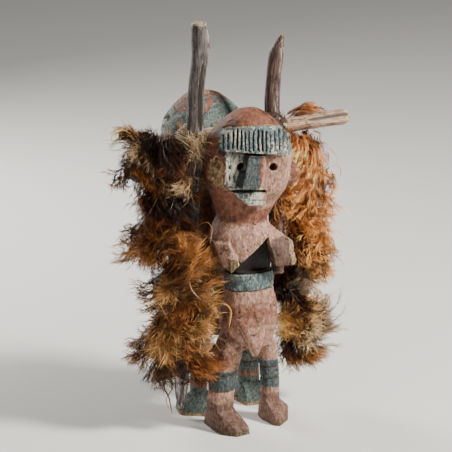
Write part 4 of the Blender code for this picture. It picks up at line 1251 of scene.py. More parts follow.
# %% One growth of feathers
def barb_row(kind, way, spine, length, half_width, tones, shade, random):
    """The barbs on one side of every feather: five corners for each barb, and their colours."""
    habit, barbs, count = KINDS[kind], KINDS[kind].barbs, len(length)
    t = (np.arange(barbs) + 0.5 + 0.5 * (random.random((count, barbs)) - 0.5)) / barbs * 0.90 + 0.09
    place, tangent, across, above = spine(t)
    peak = habit.rise / (habit.rise + habit.fall)
    profile = (t / peak) ** habit.rise * ((1 - t) / (1 - peak)).clip(0) ** habit.fall
    reach = half_width[:, None] * profile.clip(habit.least) * (1 + habit.ragged * random.normal(size=t.shape))
    turned = (habit.tip_slope - habit.root_slope) * t
    slope = np.radians(habit.root_slope + turned) + 0.12 * random.normal(size=t.shape)
    reach = (reach / np.sin(slope.clip(0.25)))[..., None]
    loose = habit.fluff * random.normal(size=(*t.shape, 1))
    first = tangent * np.cos(slope)[..., None] + way * across * np.sin(slope)[..., None]
    second = tangent * np.cos(slope * 0.6)[..., None] + way * across * np.sin(slope * 0.6)[..., None]
    middle = place + reach * 0.52 * (first + above * (0.16 + loose))
    tip = middle + reach * 0.50 * (second + above * (loose * 1.8 - 0.22) + across * loose * 0.8)
    wide = unit(tangent + 0.2 * above) * (length / barbs * (0.40 if kind == "under" else 0.33))[:, None, None]
    corners = np.stack([place - wide, place + wide, middle - wide * 0.9, middle + wide * 0.5, tip], 2)
    late = ramp(t, 0.15, 0.85)[..., None]
    inner = tones[:, None, 0] * (1 - late) + tones[:, None, 1] * late
    outer = tones[:, None, 1] * (1 - late) + tones[:, None, 2] * late
    bright = shade[:, None] * (0.82 + 0.36 * random.random((*t.shape, 1)))
    # darker towards the quill: the feathers' own darker bases, and painted shade deep in the garland
    bright = bright * (0.34 + 0.78 * ramp(t, 0.0, 0.62))[..., None]
    inner, outer = inner * bright, outer * bright
    return corners, np.stack([inner * 0.8, inner, outer * 0.95, outer, outer * 1.12], 2)


def grow(kind, spine, length, half_width, tones, random):
    """Feathers of one kind: arrays of corners, colours and triangles, one row for each feather."""
    count = len(length)
    shade = 0.86 + 0.28 * random.random((count, 1))
    rows = [barb_row(kind, way, spine, length, half_width, tones, shade, random) for way in (-1, 1)]
    corners, colours = (np.concatenate(part, 1).reshape(count, -1, 3) for part in zip(*rows))
    base = np.arange(2 * KINDS[kind].barbs)[:, None, None] * 5
    triangles = (base + np.array([[0, 1, 3], [0, 3, 2], [2, 3, 4]])).reshape(-1, 3)
    quill, quill_tones, quill_triangles = quill_strip(spine, tones, corners.shape[1])
    return (np.concatenate([corners, quill], 1), np.concatenate([colours, quill_tones], 1),
            np.concatenate([triangles, quill_triangles]))


def plumage(name, growths):
    """One mesh from several growths, with the colour of each corner."""
    points, tints, faces, start = [], [], [], 0
    for corners, colours, triangles in growths:
        count, per = corners.shape[:2]
        points.append(corners.reshape(-1, 3))
        tints.append(colours.reshape(-1, 3))
        faces.append((np.arange(count)[:, None, None] * per + triangles + start).reshape(-1, 3))
        start += count * per
    points, tints, faces = np.concatenate(points), np.concatenate(tints), np.concatenate(faces)
    mesh = bpy.data.meshes.new(name)
    mesh.vertices.add(len(points))
    mesh.loops.add(faces.size)
    mesh.polygons.add(len(faces))
    mesh.loops.foreach_set("vertex_index", faces.ravel().astype(np.int32))
    mesh.polygons.foreach_set("loop_start", np.arange(0, faces.size, 3, dtype=np.int32))
    set_coordinates(mesh, points)
    mesh.update(calc_edges=True)
    set_colours(mesh, "tint", np.clip(tints, 0, 1))
    return linked(name, mesh)


print("kinds of growth:", ", ".join(KINDS))

# %% [markdown]
# The garlands are made of tufts, and each tuft is one bird's worth of similar feathers tied at the quills.
# The tables say where a tuft shows in the photograph, how deep it sits, which way it points, and what
# feathers it holds. Directions are in degrees, with 0 to the right and 90 straight up.

# %% Tones and tufts
TONES = {
    # dark: near-black for the garlands' insides, partly the feathers' own colour and partly painted shade
    # between the tufts
    "dark": [srgb(6, 2, 1), srgb(26, 11, 5), srgb(66, 36, 17)],
    "brown": [srgb(24, 10, 4), srgb(86, 44, 17), srgb(152, 98, 50)],
    "golden": [srgb(54, 25, 9), srgb(156, 95, 45), srgb(232, 172, 108)],
    "orange": [srgb(50, 22, 9), srgb(146, 85, 41), srgb(216, 152, 92)],
    "cream": [srgb(90, 54, 24), srgb(184, 134, 80), srgb(234, 196, 140)],
    "bright": [srgb(104, 56, 24), srgb(204, 134, 78), srgb(250, 202, 152)],
    "white": [srgb(128, 92, 58), srgb(206, 178, 138), srgb(246, 230, 202)],
    "grey": [srgb(28, 21, 17), srgb(92, 78, 66), srgb(158, 145, 134)],
    "tan": [srgb(50, 28, 13), srgb(138, 92, 50), srgb(204, 158, 104)],
    "olive": [srgb(16, 11, 5), srgb(58, 40, 16), srgb(108, 82, 42)],
}


# across and down are pixels of the picture, depth is Y in metres, aim and spread are degrees, length is in mm
Tuft = namedtuple("Tuft", "across down depth aim spread curl count length kind tones")


def tufts_of(table):
    """The tufts of a table with a line for each."""
    rows = [line.split() for line in table.strip().splitlines()]
    return [Tuft(*(float(word) for word in row[:-2]), *row[-2:]) for row in rows]


LEFT_TUFTS = tufts_of("""
146 190 -.016 205 40 1.4 70 17 hackle brown
144 204 -.014 225 40 1.6 60 17 hackle dark
162 258 -.012 250 60 1.2 60 22 broad dark
164 144 -.030 255 60 1.0 70 15 broad dark
121 129 -.010 165 40 1.2 26 13 broad white
134 136 -.012 110 70 1.0 30 9 down cream
142 143 -.018 205 90 1.2 44 19 down olive
137 150 -.022 215 60 1.0 30 16 down white
152 141 -.014 70 80 1.0 46 10 down dark
161 131 -.020 95 15 0.2 6 9 hackle white
128 160 -.015 235 50 2.0 40 19 broad dark
141 168 -.020 225 50 1.8 46 22 hackle orange
165 150 -.034 250 70 1.2 100 25 broad dark
180 156 -.032 285 60 -1.0 60 22 broad brown
160 182 -.032 215 60 1.8 60 22 hackle brown
181 185 -.038 265 90 -1.2 46 14 down white
194 194 -.036 300 60 1.6 44 15 broad brown
166 200 -.034 240 60 1.3 120 28 hackle dark
150 208 -.022 235 45 1.5 80 26 hackle brown
143 228 -.020 225 50 2.2 44 17 hackle orange
168 248 -.042 55 40 -1.0 100 26 hackle golden
186 232 -.045 110 50 1.4 60 20 hackle brown
198 241 -.046 70 60 1.6 36 13 down white
150 252 -.022 215 70 1.2 100 20 down golden
136 252 -.015 190 25 0.6 22 12 hackle cream
178 270 -.046 28 34 1.2 130 34 broad golden
206 268 -.052 70 45 1.6 60 18 hackle orange
188 286 -.046 350 40 1.2 100 29 broad tan
194 281 -.052 300 16 0.8 8 22 hackle white
168 288 -.036 205 60 1.3 60 19 down cream
158 304 -.022 200 40 1.2 50 17 hackle tan
182 306 -.042 330 60 -1.8 80 22 hackle orange
178 325 -.042 160 60 -2.0 80 21 hackle orange
192 332 -.046 300 60 1.4 70 18 down cream
206 312 -.046 20 50 1.2 50 14 down cream
208 324 -.042 5 40 1.0 44 13 hackle golden
160 328 -.024 240 40 1.2 130 25 down cream
141 352 -.012 250 20 0.8 12 12 hackle orange
186 344 -.042 250 60 2.0 90 23 hackle orange
176 352 -.042 190 60 -1.6 60 20 hackle golden
202 349 -.046 5 50 1.2 50 13 down white
160 362 -.024 220 50 1.2 90 19 broad olive
152 366 -.018 250 30 1.0 24 14 hackle tan
198 362 -.042 285 55 1.3 120 25 hackle orange
202 380 -.042 275 20 0.8 22 14 hackle brown
""")
RIGHT_TUFTS = tufts_of("""
296 117 .014 34 30 -1.2 80 17 broad orange
310 114 .014 12 24 -0.9 70 15 broad orange
303 113 .014 20 24 -1.0 50 18 hackle golden
319 116 .014 4 24 -0.6 30 11 hackle orange
300 118 .012 28 40 -1.2 60 13 broad brown
291 139 -.004 280 40 1.0 50 22 broad dark
288 232 -.004 262 40 1.0 60 24 broad dark
277 218 -.012 262 30 1.0 46 20 broad dark
296 141 -.020 305 40 -1.4 90 26 hackle bright
314 142 -.006 290 40 -2.0 60 22 hackle golden
300 152 -.022 300 50 -1.2 110 30 hackle bright
322 158 -.008 300 40 -2.4 50 20 hackle bright
292 172 -.028 285 40 -1.0 110 30 hackle orange
308 172 -.018 285 40 -1.4 120 32 hackle bright
324 184 -.008 265 40 -2.2 60 22 hackle golden
300 195 -.024 275 40 -1.0 110 30 hackle golden
318 205 -.010 240 50 -1.6 60 22 hackle bright
296 215 -.024 275 40 1.2 110 28 hackle orange
310 235 -.016 60 50 -1.4 80 20 hackle golden
318 250 -.008 10 50 1.2 80 17 hackle tan
300 252 -.022 270 60 1.0 110 26 hackle tan
312 272 -.012 300 60 1.2 90 20 hackle cream
296 288 -.016 5 40 0.8 70 19 broad grey
290 300 -.020 265 60 1.0 80 24 broad dark
290 310 -.026 15 40 1.0 50 18 hackle tan
304 312 -.016 20 40 0.8 36 13 broad tan
312 310 -.006 50 20 0.4 24 15 hackle cream
297 328 -.024 110 160 1.0 110 17 down cream
303 332 -.024 320 120 1.0 80 15 down white
314 328 -.012 352 44 0.8 130 24 broad grey
325 330 -.005 350 30 0.6 30 11 down white
288 346 -.016 255 50 1.0 80 20 broad dark
302 352 -.014 290 50 1.0 110 20 hackle tan
314 354 -.006 315 50 0.8 70 18 broad grey
287 262 -.004 255 40 1.0 60 24 broad dark
283 194 -.034 262 30 1.0 80 26 hackle orange
281 210 -.034 258 40 1.2 80 26 hackle golden
281 226 -.034 268 40 -1.0 80 24 hackle brown
284 243 -.032 268 30 1.0 80 24 broad dark
284 200 -.018 265 40 1.0 70 24 broad dark
286 186 -.012 270 40 1.0 60 22 broad brown
280 262 -.030 262 30 1.0 60 22 broad dark
286 296 .000 260 40 1.0 70 24 broad dark
288 330 .000 265 50 1.0 70 22 broad dark
""")
for tufts in (LEFT_TUFTS, RIGHT_TUFTS):
    print(len(tufts), "tufts of", sum(tuft.count for tuft in tufts), "feathers")

# %% [markdown]
# The tufts of the table hang in front. Behind and between them the garland is just as full, so shorter
# feathers also grow all over the CAD garland's lumps, outwards and down, in the tones of the nearest tuft.
# A feather whose middle or tip would end inside a figure is left out.

# %% Where feathers may not stand
def tree_of(made):
    mesh = made.data
    return BVHTree.FromPolygons([v.co for v in mesh.vertices], [p.vertices for p in mesh.polygons])


# the crossbar's bare right end in the photograph, which slants up to the right, in its pixels
BARE_LEFT, BARE_RIGHT, BARE_TOP, BARE_FOOT = 284, 350, 116, 135
SLANT_START, SLANT_RUN, TOP_RISE, FOOT_RISE = 286, 60, 5, 6
VIEW_IN, VIEW_RIGHT, VIEW_UP, VIEW_NEAR = (np.array(v) for v in (looking, to_the_right, upwards, towards_eye))
figure_trees = [tree_of(front_figure), tree_of(back_figure)]


def hides_the_bar(points):
    """Whether points stand before the crossbar's bare right end, where the photograph shows no feathers."""
    ray = points - np.array(eye)
    deep = ray @ VIEW_IN
    across = IMAGE_SIDE / 2 + FOCAL_PIXELS * (ray @ VIEW_RIGHT) / deep
    down = IMAGE_SIDE / 2 - FOCAL_PIXELS * (ray @ VIEW_UP) / deep
    share = (across - SLANT_START) / SLANT_RUN
    beside = (across > BARE_LEFT) & (across < BARE_RIGHT) & (points[:, 1] < MIDDLE.y + 0.004)
    return beside & (down > BARE_TOP - TOP_RISE * share) & (down < BARE_FOOT - FOOT_RISE * share)


def inside_a_figure(point):
    for tree in figure_trees:
        place, normal, _, _ = tree.find_nearest(Vector(point), 0.03)
        if place is not None and (Vector(point) - place).dot(normal) < 0.0004:
            return True
    return False


print("trees to look places up in:", len(figure_trees))

# %% Feathers of the tufts and under them
def surface_samples(node, count, random):
    """Random points on a CAD node and their normals, evenly spread by area."""
    mesh = bpy.data.objects[node].data
    mesh.calc_loop_triangles()
    points = coordinates(mesh)
    corners = np.array([t.vertices[:] for t in mesh.loop_triangles])
    a, b, c = points[corners[:, 0]], points[corners[:, 1]], points[corners[:, 2]]
    across = np.cross(b - a, c - a)
    area = np.linalg.norm(across, axis=1)
    chosen = random.choice(len(area), count, p=area / area.sum())
    u, v = random.random((2, count, 1))
    flip = u + v > 1
    u, v = np.where(flip, 1 - u, u), np.where(flip, 1 - v, v)
    return a[chosen] + u * (b - a)[chosen] + v * (c - a)[chosen], unit(across[chosen])


def tuft_feathers(tuft, random):
    """Roots, headings, curls, lengths, bends, tones and light of one tuft, combed into a fan."""
    count = round(tuft.count * 0.68)
    right, up, near = VIEW_RIGHT, VIEW_UP, VIEW_NEAR
    offset = random.normal(size=(count, 3))
    fan = offset[:, 0] * 0.30 + 0.06 * random.normal(size=count)
    turn = np.radians(tuft.aim + tuft.spread * fan)
    forward = right * math.cos(math.radians(tuft.aim)) + up * math.sin(math.radians(tuft.aim))
    sideways = up * math.cos(math.radians(tuft.aim)) - right * math.sin(math.radians(tuft.aim))
    scatter = 0.00076 * math.sqrt(count)
    roots = np.array(seen_at(tuft.across, tuft.down, tuft.depth)) + scatter * (
        sideways * offset[:, :1] + forward * offset[:, 1:2] * 0.9 + near * offset[:, 2:] * 0.7)
    roots = roots - forward * tuft.length * 0.00030
    lift = 0.20 + 0.22 * random.normal(size=count)
    heading = right * np.cos(turn)[:, None] + up * np.sin(turn)[:, None] + near * lift[:, None]
    way = up * np.cos(turn)[:, None] - right * np.sin(turn)[:, None]
    way = way + 0.15 * random.normal(size=(count, 3)) - near * 0.25
    bend = tuft.curl * (0.95 + 0.28 * random.normal(size=count))
    lit = np.full(count, random.normal() * 0.12 + 1.06)
    return roots, heading, way, np.full(count, tuft.length * 1.12 / 1000), bend, [tuft.tones] * count, lit


def under_feathers(node, tufts, count, random):
    """Feathers all over the garland's lumps, combed downwards and flicked out at the tips."""
    points, outward = surface_samples(node, 2 * count, random)
    facing = (outward @ VIEW_NEAR).clip(0)
    wanted = (random.random(2 * count) > 0.25 + 0.5 * facing) & (
        (points[:, 2] < BAR_HEIGHT + 0.002) | (points[:, 0] < MIDDLE.x))
    points, outward, facing = points[wanted], outward[wanted], facing[wanted][:, None]
    count = len(points)
    centres = np.array([seen_at(tuft.across, tuft.down, tuft.depth) for tuft in tufts])
    apart = np.linalg.norm((points[:, None] - centres[None]) * (1, 0.35, 1), axis=2)
    nearest = [tufts[n] for n in (apart + 0.006 * random.random(apart.shape)).argmin(1)]
    swirl = np.stack([noise(points, 0.030, shift) for shift in (80, 81, 82)], 1)
    aims = np.radians([tuft.aim for tuft in nearest])
    aimed = VIEW_RIGHT * np.cos(aims)[:, None] + VIEW_UP * np.sin(aims)[:, None]
    hang = np.array([0, 0, -0.85]) * (1 - facing) + aimed * facing
    heading = outward * 0.24 + hang + swirl * 0.5 + 0.10 * random.normal(size=(count, 3))
    way = swirl + outward * 0.1 - np.array([0, 0, 0.3])
    bend = 1.2 + 0.5 * random.normal(size=count)
    upper = ramp(points[:, 2], BAR_HEIGHT - 0.030, BAR_HEIGHT - 0.010)
    length = (0.024 - 0.005 * facing[:, 0]) * (1 - 0.6 * upper)
    roots = points - outward * 0.008 - unit(heading) * 0.003
    # under feathers that face out show between the tufts, so they are darker, as painted shade
    return roots, heading, way, length, bend, [tuft.tones for tuft in nearest], 0.95 - 0.50 * facing[:, 0]


print("feathers in the first tuft:", round(LEFT_TUFTS[0].count * 0.68))

# %% Garlands
FURTHEST_OUT = 0.006
# tints of each garland; the left one is also much darker, as painted shade, since it hangs in the figures'
# shade
LEFT_TINT_AND_SHADE, RIGHT_SHADE = np.array([0.58, 0.48, 0.37]), np.array([1.06, 0.92, 0.72])


def shortened(tree, roots, heading, length):
    """Lengths cut down where a tip would stand too far out of the garland's solid."""
    lengths = length.copy()
    for index, (root, way) in enumerate(zip(roots, unit(heading))):
        tip = Vector(root + way * length[index] * 0.9)
        place, normal, _, distance = tree.find_nearest(tip)
        if (tip - place).dot(normal) > 0 and distance > FURTHEST_OUT:
            lengths[index] = max(length[index] - (distance - FURTHEST_OUT), length[index] * 0.35)
    return lengths


def garland(name, node, tufts, under_count, shade, seed):
    """One growth for each kind of feather, without those that a figure or the bare bar leaves no room for."""
    random = np.random.default_rng(seed)
    tree = tree_of(bpy.data.objects[node])
    growths = []
    for kind in KINDS:
        parts = [tuft_feathers(tuft, random) for tuft in tufts if tuft.kind == kind]
        if kind == "under":
            parts = [under_feathers(node, tufts, under_count, random)]
        roots, heading, way, length, bend = (np.concatenate([part[i] for part in parts]) for i in range(5))
        tones = np.array([TONES[tone] for part in parts for tone in part[5]])
        # each feather's lightness: random for each tuft, and painted shade on the under feathers
        brightness = np.concatenate([part[6] for part in parts])[:, None, None]
        count = len(roots)
        tones = tones * brightness * (0.78 + 0.44 * random.random((count, 1, 1))) * shade
        length = shortened(tree, roots, heading, length * (0.75 + 0.5 * random.random(count)))
        half_width = length * KINDS[kind].width * (0.8 + 0.4 * random.random(count))
        roll = random.normal(size=count) * 0.6
        spine = spines(roots, heading, way, length, bend, roll)
        corners, colours, triangles = grow(kind, spine, length, half_width, tones, random)
        tips, middles = corners[:, -1], corners[:, -2 * (QUILL_STEPS // 2) - 1]
        keep = np.array([not (inside_a_figure(a) or inside_a_figure(b)) for a, b in zip(middles, tips)])
        keep &= (tips[:, 2] > 0.004) & ~hides_the_bar(tips) & ~hides_the_bar(middles)
        growths.append((corners[keep], colours[keep], triangles))
        print(name, kind, "kept", keep.sum(), "of", count)
    return growths


left_growths = garland("left garland", "feather_garland_left", LEFT_TUFTS, 980, LEFT_TINT_AND_SHADE, 21)
right_growths = garland("right garland", "feather_garland_right", RIGHT_TUFTS, 860, RIGHT_SHADE, 22)

# %% The dark middle of a garland
SMALLEST_ISLAND = 900
MIDDLE_VOXEL = 0.0027


def island_of(start, seen):
    """All corners that edges link to a first one."""
    island = [start]
    seen.add(start)
    for corner in island:
        beside = [edge.other_vert(corner) for edge in corner.link_edges]
        fresh = [other for other in beside if other not in seen]
        seen.update(fresh)
        island += fresh
    return island


def drop_corners(made, dropped):
    """Removes the marked corners of a mesh, the faces that use them, and the crumbs that come loose."""
    body = bmesh.new()
    body.from_mesh(made.data)
    body.verts.ensure_lookup_table()
    bmesh.ops.delete(body, geom=[body.verts[i] for i in np.flatnonzero(dropped)], context="VERTS")
    seen, crumbs = set(), []
    for start in body.verts:
        if start not in seen:
            island = island_of(start, seen)
            crumbs += island if len(island) < SMALLEST_ISLAND else []
    bmesh.ops.delete(body, geom=crumbs, context="VERTS")
    body.to_mesh(made.data)
    body.free()


def bound_quills(name, node, tone, seed):
    """The dark middle of a garland: the CAD's lumps drawn in by some millimetres and roughened."""
    made = mesh_object(name, *shape_of(bpy.data.objects[node].data))
    points = fuse(made, MIDDLE_VOXEL, 6)
    outside = tree_of(made)
    depth = 0.0055 + 0.0020 * noise(points, 0.007, seed)
    points = points - normals(made.data) * depth[:, None]
    set_coordinates(made.data, points)
    away = np.array([outside.find_nearest(Vector(p))[3] for p in points])
    near_bar = hides_the_bar(points) | ((points[:, 2] > BAR_HEIGHT - 0.010) & (points[:, 0] > MIDDLE.x))
    drop_corners(made, (away < 0.75 * depth) | near_bar)
    streak = ramp(noise(coordinates(made.data) * (1, 1, 0.3), 0.003, seed + 1), -0.5, 0.8)[:, None]
    dark, light = np.array(srgb(34, 17, 9)), np.array(srgb(116, 70, 38))
    set_colours(made.data, "tint", (dark * (1 - streak) + light * streak) * tone)
    shade_smooth(made.data)
    return made


print("voxel of the dark middles in mm:", round(MIDDLE_VOXEL * 1000, 2))

# %% [markdown]
# Feathers have a soft sheen along the barbs, and their colour changes from barb to barb. The colour is in
# the mesh, so the material only adds fine streaks, a little gloss and a fine ribbed bump.

# %% Material of the feathers
def tinted(tree, streak, dark, light):
    """The colour stored on the mesh, made darker and lighter by fine streaks."""
    tint = add(tree, "ShaderNodeAttribute", attribute_name="tint").outputs["Color"]
    bright = spread(tree, streak, dark, light, 0.3, 0.7)
    return add(tree, "ShaderNodeVectorMath", {0: tint, "Scale": bright}, operation="SCALE").outputs[0]


feather_finish, tree, shader, position = new_material("fowl feathers")
streak = cloud(tree, position, 900, 3, 0.6)
gloss = spread(tree, streak, 0.34, 0.52)
finish_shader(tree, shader, tinted(tree, streak, 0.72, 1.25), gloss, streak, 0.3, 0.0003)
shader.inputs["Sheen Weight"].default_value = 0.06
shader.inputs["Sheen Roughness"].default_value = 0.4
shader.inputs["Specular IOR Level"].default_value = 0.18

for side, growths in (("left", left_growths), ("right", right_growths)):
    for growth, kind in zip(growths, KINDS):
        piece = plumage(f"{side}_{kind}_feathers", [growth])
        dress(piece, f"feather_garland_{side}", feather_finish)
        print(piece.name, len(piece.data.polygons), "triangles")
# the left middle is darker, as painted shade like the left garland's feathers
for side, tone, seed in (("left", 0.4, 90), ("right", 1.4, 95)):
    middle = bound_quills(f"{side}_bound_quills", f"feather_garland_{side}", tone, seed)
    dress(middle, f"feather_garland_{side}", feather_finish)
    print(middle.name, len(middle.data.polygons), "faces")

# %% [markdown]
# ## Three sticks
#
# The sticks are cut branches: two uprights and a crossbar. The left one keeps its grey bark, with long
# cracks and a knot near the top, and ends in a slanting cut. The right one and the crossbar are peeled, so
# they're smoother and browner, and one is whittled to a point. Each is a loft with fine rings, whose surface
# is pushed in and out by noise that is drawn out along the wood.

# %% Stick maker
STICK_SIDES, STICK_RINGS = 44, 116
END_SKIN = 0.0012


def bark_profile(angle, shares, slender, bark, number, cuts):
    """How far each corner stands out, as a share of the radius, with the ridges and cracks that made it."""
    round_the_wood = np.broadcast_to(angle, (STICK_RINGS, STICK_SIDES))
    up_the_wood = np.broadcast_to(shares[:, None] * slender, (STICK_RINGS, STICK_SIDES))
    drawn = np.stack([np.cos(round_the_wood), np.sin(round_the_wood), up_the_wood], -1)
    slow = drawn * (1, 1, 0.12)
    ridges = noise(slow + number, 0.42) + 0.55 * noise(slow * (1, 1, 2) + number, 0.2)
    lumps = noise(drawn * (1, 1, 0.5), 1.7, number)
    crack = ramp(-noise(slow + 3 + number, 0.5), 0.42, 0.62)
    profile = 1 + 0.055 * lumps + bark * (0.05 * ridges - 0.16 * crack)
    for share, turn, size, height in cuts:
        gap = np.angle(np.exp(1j * (angle[None] - turn))) / size
        spot = np.hypot(gap, (shares[:, None] - share) * slender / size)
        profile += height * np.exp(-spot**2 * 2) * np.cos(spot * 4)
    return profile, ridges, lumps, crack


def stick(name, start, direction, length, radius, rows, bark, number, cuts=()):
    """A stick along a direction. Rows hold: share of length, shift aside, shift back (as shares), swell."""
    shares = np.linspace(0, 1, STICK_RINGS)
    path = between_rows(rows, shares)
    direction = direction.normalized()
    upright = abs(direction.z) > 0.5
    aside = Vector((1, 0, 0)) if upright else Vector((0, 0, 1))
    aside = np.array((aside - direction * aside.dot(direction)).normalized())
    back = np.array((0.0, 1.0, 0.0))
    angle = (1 if upright else -1) * (math.tau * np.arange(STICK_SIDES) / STICK_SIDES)
    around = np.cos(angle)[:, None] * aside + np.sin(angle)[:, None] * back
    middles = (np.array(start) + shares[:, None] * length * np.array(direction)
               + path[:, :1] * length * aside + path[:, 1:2] * length * back)
    profile, ridges, lumps, crack = bark_profile(angle, shares, length / radius, bark, number, cuts)
    rings = middles[:, None] + around[None] * ((radius * path[:, 2])[:, None] * profile)[..., None]
    points, faces = closed_loft(rings)
    made = mesh_object(name, points, faces[:-2])
    weathered_end = (1 - ramp(shares, 0.05, 0.13))[:, None] * (bark > 0.9)
    wear = np.clip(0.5 + 0.5 * ridges + 0.3 * lumps + 0.6 * weathered_end, 0, 1)
    crack = crack * (1 - 0.8 * weathered_end)
    ends = np.broadcast_to(np.minimum(shares, 1 - shares)[:, None] * length < END_SKIN, wear.shape)
    set_colours(made.data, "relief", np.stack([wear.ravel(), crack.ravel(), ends.ravel()], 1))
    cap_ends(made, number)
    shade_smooth(made.data)
    print(name, len(made.data.polygons), "faces")
    return made


def cap_ends(made, number):
    """Closes both ends with rings that shrink to the middle, so a cut end shows a slightly rough face."""
    body = bmesh.new()
    body.from_mesh(made.data)
    body.verts.ensure_lookup_table()
    layer = body.verts.layers.float_color["relief"]
    for first in (0, STICK_RINGS - 1):
        edge = body.verts[first * STICK_SIDES:(first + 1) * STICK_SIDES]
        row, middle = edge, sum((v.co for v in edge), Vector()) / STICK_SIDES
        for share in (0.93, 0.75, 0.5, 0.25):
            fresh = []
            for outer in edge:
                place = middle.lerp(outer.co, share)
                rough = float(noise(np.array([place]), 0.0016, number)[0])
                new = body.verts.new(place + Vector((0, 0, 0.00025 * rough)))
                new[layer] = (0.6, 0.2 + 0.3 * rough, 1, 1)
                fresh.append(new)
            for side in range(STICK_SIDES):
                after = (side + 1) % STICK_SIDES
                corners = [row[side], row[after], fresh[after], fresh[side]]
                body.faces.new(corners if first else corners[::-1])
            row = fresh
        body.verts.ensure_lookup_table()
        body.faces.new(row if first else row[::-1])
    bmesh.ops.recalc_face_normals(body, faces=body.faces)
    body.to_mesh(made.data)
    body.free()


print("corners round a stick:", STICK_SIDES)

# %% The three sticks
left_low, left_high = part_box("upright_stick_left")
right_low, right_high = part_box("upright_stick_right")
LEFT_ROWS = [
    (0, -.019, .044, .30), (.04, -.020, .040, .72), (.096, -.020, .036, .88), (.29, -.017, .024, .94),
    (.51, -.007, .009, .96), (.68, 0, 0, .98), (.795, .002, 0, .98), (.865, .009, 0, 1.0), (.92, .017, 0, 1.03),
    (.952, .0175, 0, 1.10), (.995, .0135, 0, .94), (1, .013, 0, .86),
]
RIGHT_ROWS = [
    (0, .028, 0, .80), (.21, .018, 0, .92), (.43, .005, 0, .96), (.60, 0, 0, .98), (.72, -.002, 0, .98),
    (.83, .004, 0, .97), (.925, .016, 0, .95), (.965, .028, 0, .62), (1, .043, 0, .18),
]
BAR_ROWS = [
    (0, 0, 0, .90), (.01, 0, 0, 1.0), (.30, .004, 0, .98), (.62, -.002, 0, 1.0), (.86, 0, 0, .99),
    (.975, 0, 0, 1.02), (1, 0, 0, .78),
]
UP = Vector((0, 0, 1))
left_start = (left_low.x + 0.0188, MIDDLE.y - 0.0204, 0.016)
right_start = (right_low.x + 0.0103, MIDDLE.y - 0.0196, 0.170)
bar_start = (bar_low.x, MIDDLE.y, BAR_HEIGHT - 0.0021)
left_stick = stick("upright_stick_with_bark", left_start, UP, 0.458, 0.0096, LEFT_ROWS, 1.0, 1,
                   cuts=((0.945, -1.0, 0.7, 0.22), (0.80, -2.2, 0.5, 0.12), (0.62, 2.0, 0.5, 0.12)))
right_stick = stick("upright_stick_with_point", right_start, UP, 0.281, 0.0090, RIGHT_ROWS, 0.55, 4,
                    cuts=((0.78, -1.6, 0.5, 0.10),))
bar = stick("crossbar", bar_start, Vector((0.261, 0, 0.005)), 0.2612, 0.0088, BAR_ROWS, 0.6, 7,
            cuts=((0.80, 2.4, 0.6, 0.10), (0.93, 0.6, 0.5, 0.08)))
for made in (left_stick, right_stick, bar):
    low, high = coordinates(made.data).min(0), coordinates(made.data).max(0)
    print(made.name, low.round(4), high.round(4))

# %% [markdown]
# Bark goes grey and splits along its length. A peeled branch keeps a thin brown skin, smoked and handled
# until it has a slight shine. Both are the same wood, so one function makes both, from different tones.

# %% Material of the sticks
def branch(name, tones, gloss, lengthwise):
    """Fibres along the stick, dark cracks, pale cut ends, and ridges made paler both as rubbed bark and as
    painted highlight.
    """
    made, tree, shader, position = new_material(name)
    dark, middle, light, cut_tone = tones
    if lengthwise == "X":
        turned = add(tree, "ShaderNodeVectorRotate", {"Vector": position, "Angle": math.pi / 2},
                     rotation_type="Y_AXIS")
        position = turned.outputs[0]
    wear, crack, end = channels(tree, "relief")
    fibre = use(tree, fibres, position, Scale=760, Stretch=0.05)
    broad = use(tree, fibres, position, Scale=210, Stretch=0.10)
    patches = cloud(tree, stretched(tree, position, 1, 1, 0.4), 95, 5, 0.6)
    colour = blend(tree, between(tree, fibre, 0.36, 0.62), dark, middle)
    # paler on broad fibres over the ridges: rubbed bark and painted highlight
    lit = times(tree, between(tree, broad, 0.44, 0.66), between(tree, wear, 0.30, 0.85))
    colour = blend(tree, lit, colour, light)
    colour = blend(tree, times(tree, between(tree, patches, 0.50, 0.66), 0.55), colour, dark)
    colour = blend(tree, times(tree, between(tree, fibre, 0.60, 0.70), 0.5), colour, light)
    pit_mask = use(tree, pores, stretched(tree, position, 1, 1, 0.45), Scale=520, Density=0.5)
    deep = maths(tree, "MAXIMUM", times(tree, crack, 0.9), times(tree, pit_mask, 0.6))
    colour = blend(tree, deep, colour, srgb(34, 25, 19))
    cut_face = blend(tree, between(tree, cloud(tree, position, 700), 0.4, 0.62), cut_tone, dark)
    height = maths(tree, "MULTIPLY_ADD", fibre, 0.7, broad)
    height = maths(tree, "MULTIPLY_ADD", pit_mask, -0.5, height)
    rough = spread(tree, fibre, gloss, gloss + 0.22)
    finish_shader(tree, shader, blend(tree, end, colour, cut_face), rough, height, 0.7, 0.0007)
    shader.inputs["Specular IOR Level"].default_value = 0.35
    return made


GREY_TONES = [srgb(48, 43, 41), srgb(112, 104, 99), srgb(206, 200, 197), srgb(190, 168, 136)]
BROWN_TONES = [srgb(50, 36, 31), srgb(104, 82, 74), srgb(188, 170, 160), srgb(180, 150, 112)]
PALE_TONES = [srgb(108, 80, 62), srgb(176, 144, 118), srgb(218, 192, 166), srgb(212, 180, 138)]
dress(left_stick, "upright_stick_left", branch("grey bark", GREY_TONES, 0.48, "Z"))
dress(right_stick, "upright_stick_right", branch("smoked brown skin", BROWN_TONES, 0.46, "Z"))
dress(bar, "crossbar_stick", branch("peeled pale wood", PALE_TONES, 0.50, "X"))
print("sticks finished:", left_stick.name, right_stick.name, bar.name)

# %% [markdown]
# ## Two ties
#
# Where an upright crosses the crossbar they are bound with strips of plant fibre. On the left the strips are
# pale raffia, wound both ways and left with long frayed ends. On the right the same kind of tie is crusted
# over with dark resin and dirt, and only a few fibres still show. Each strip is a thin tube that follows its
# own path round both sticks.

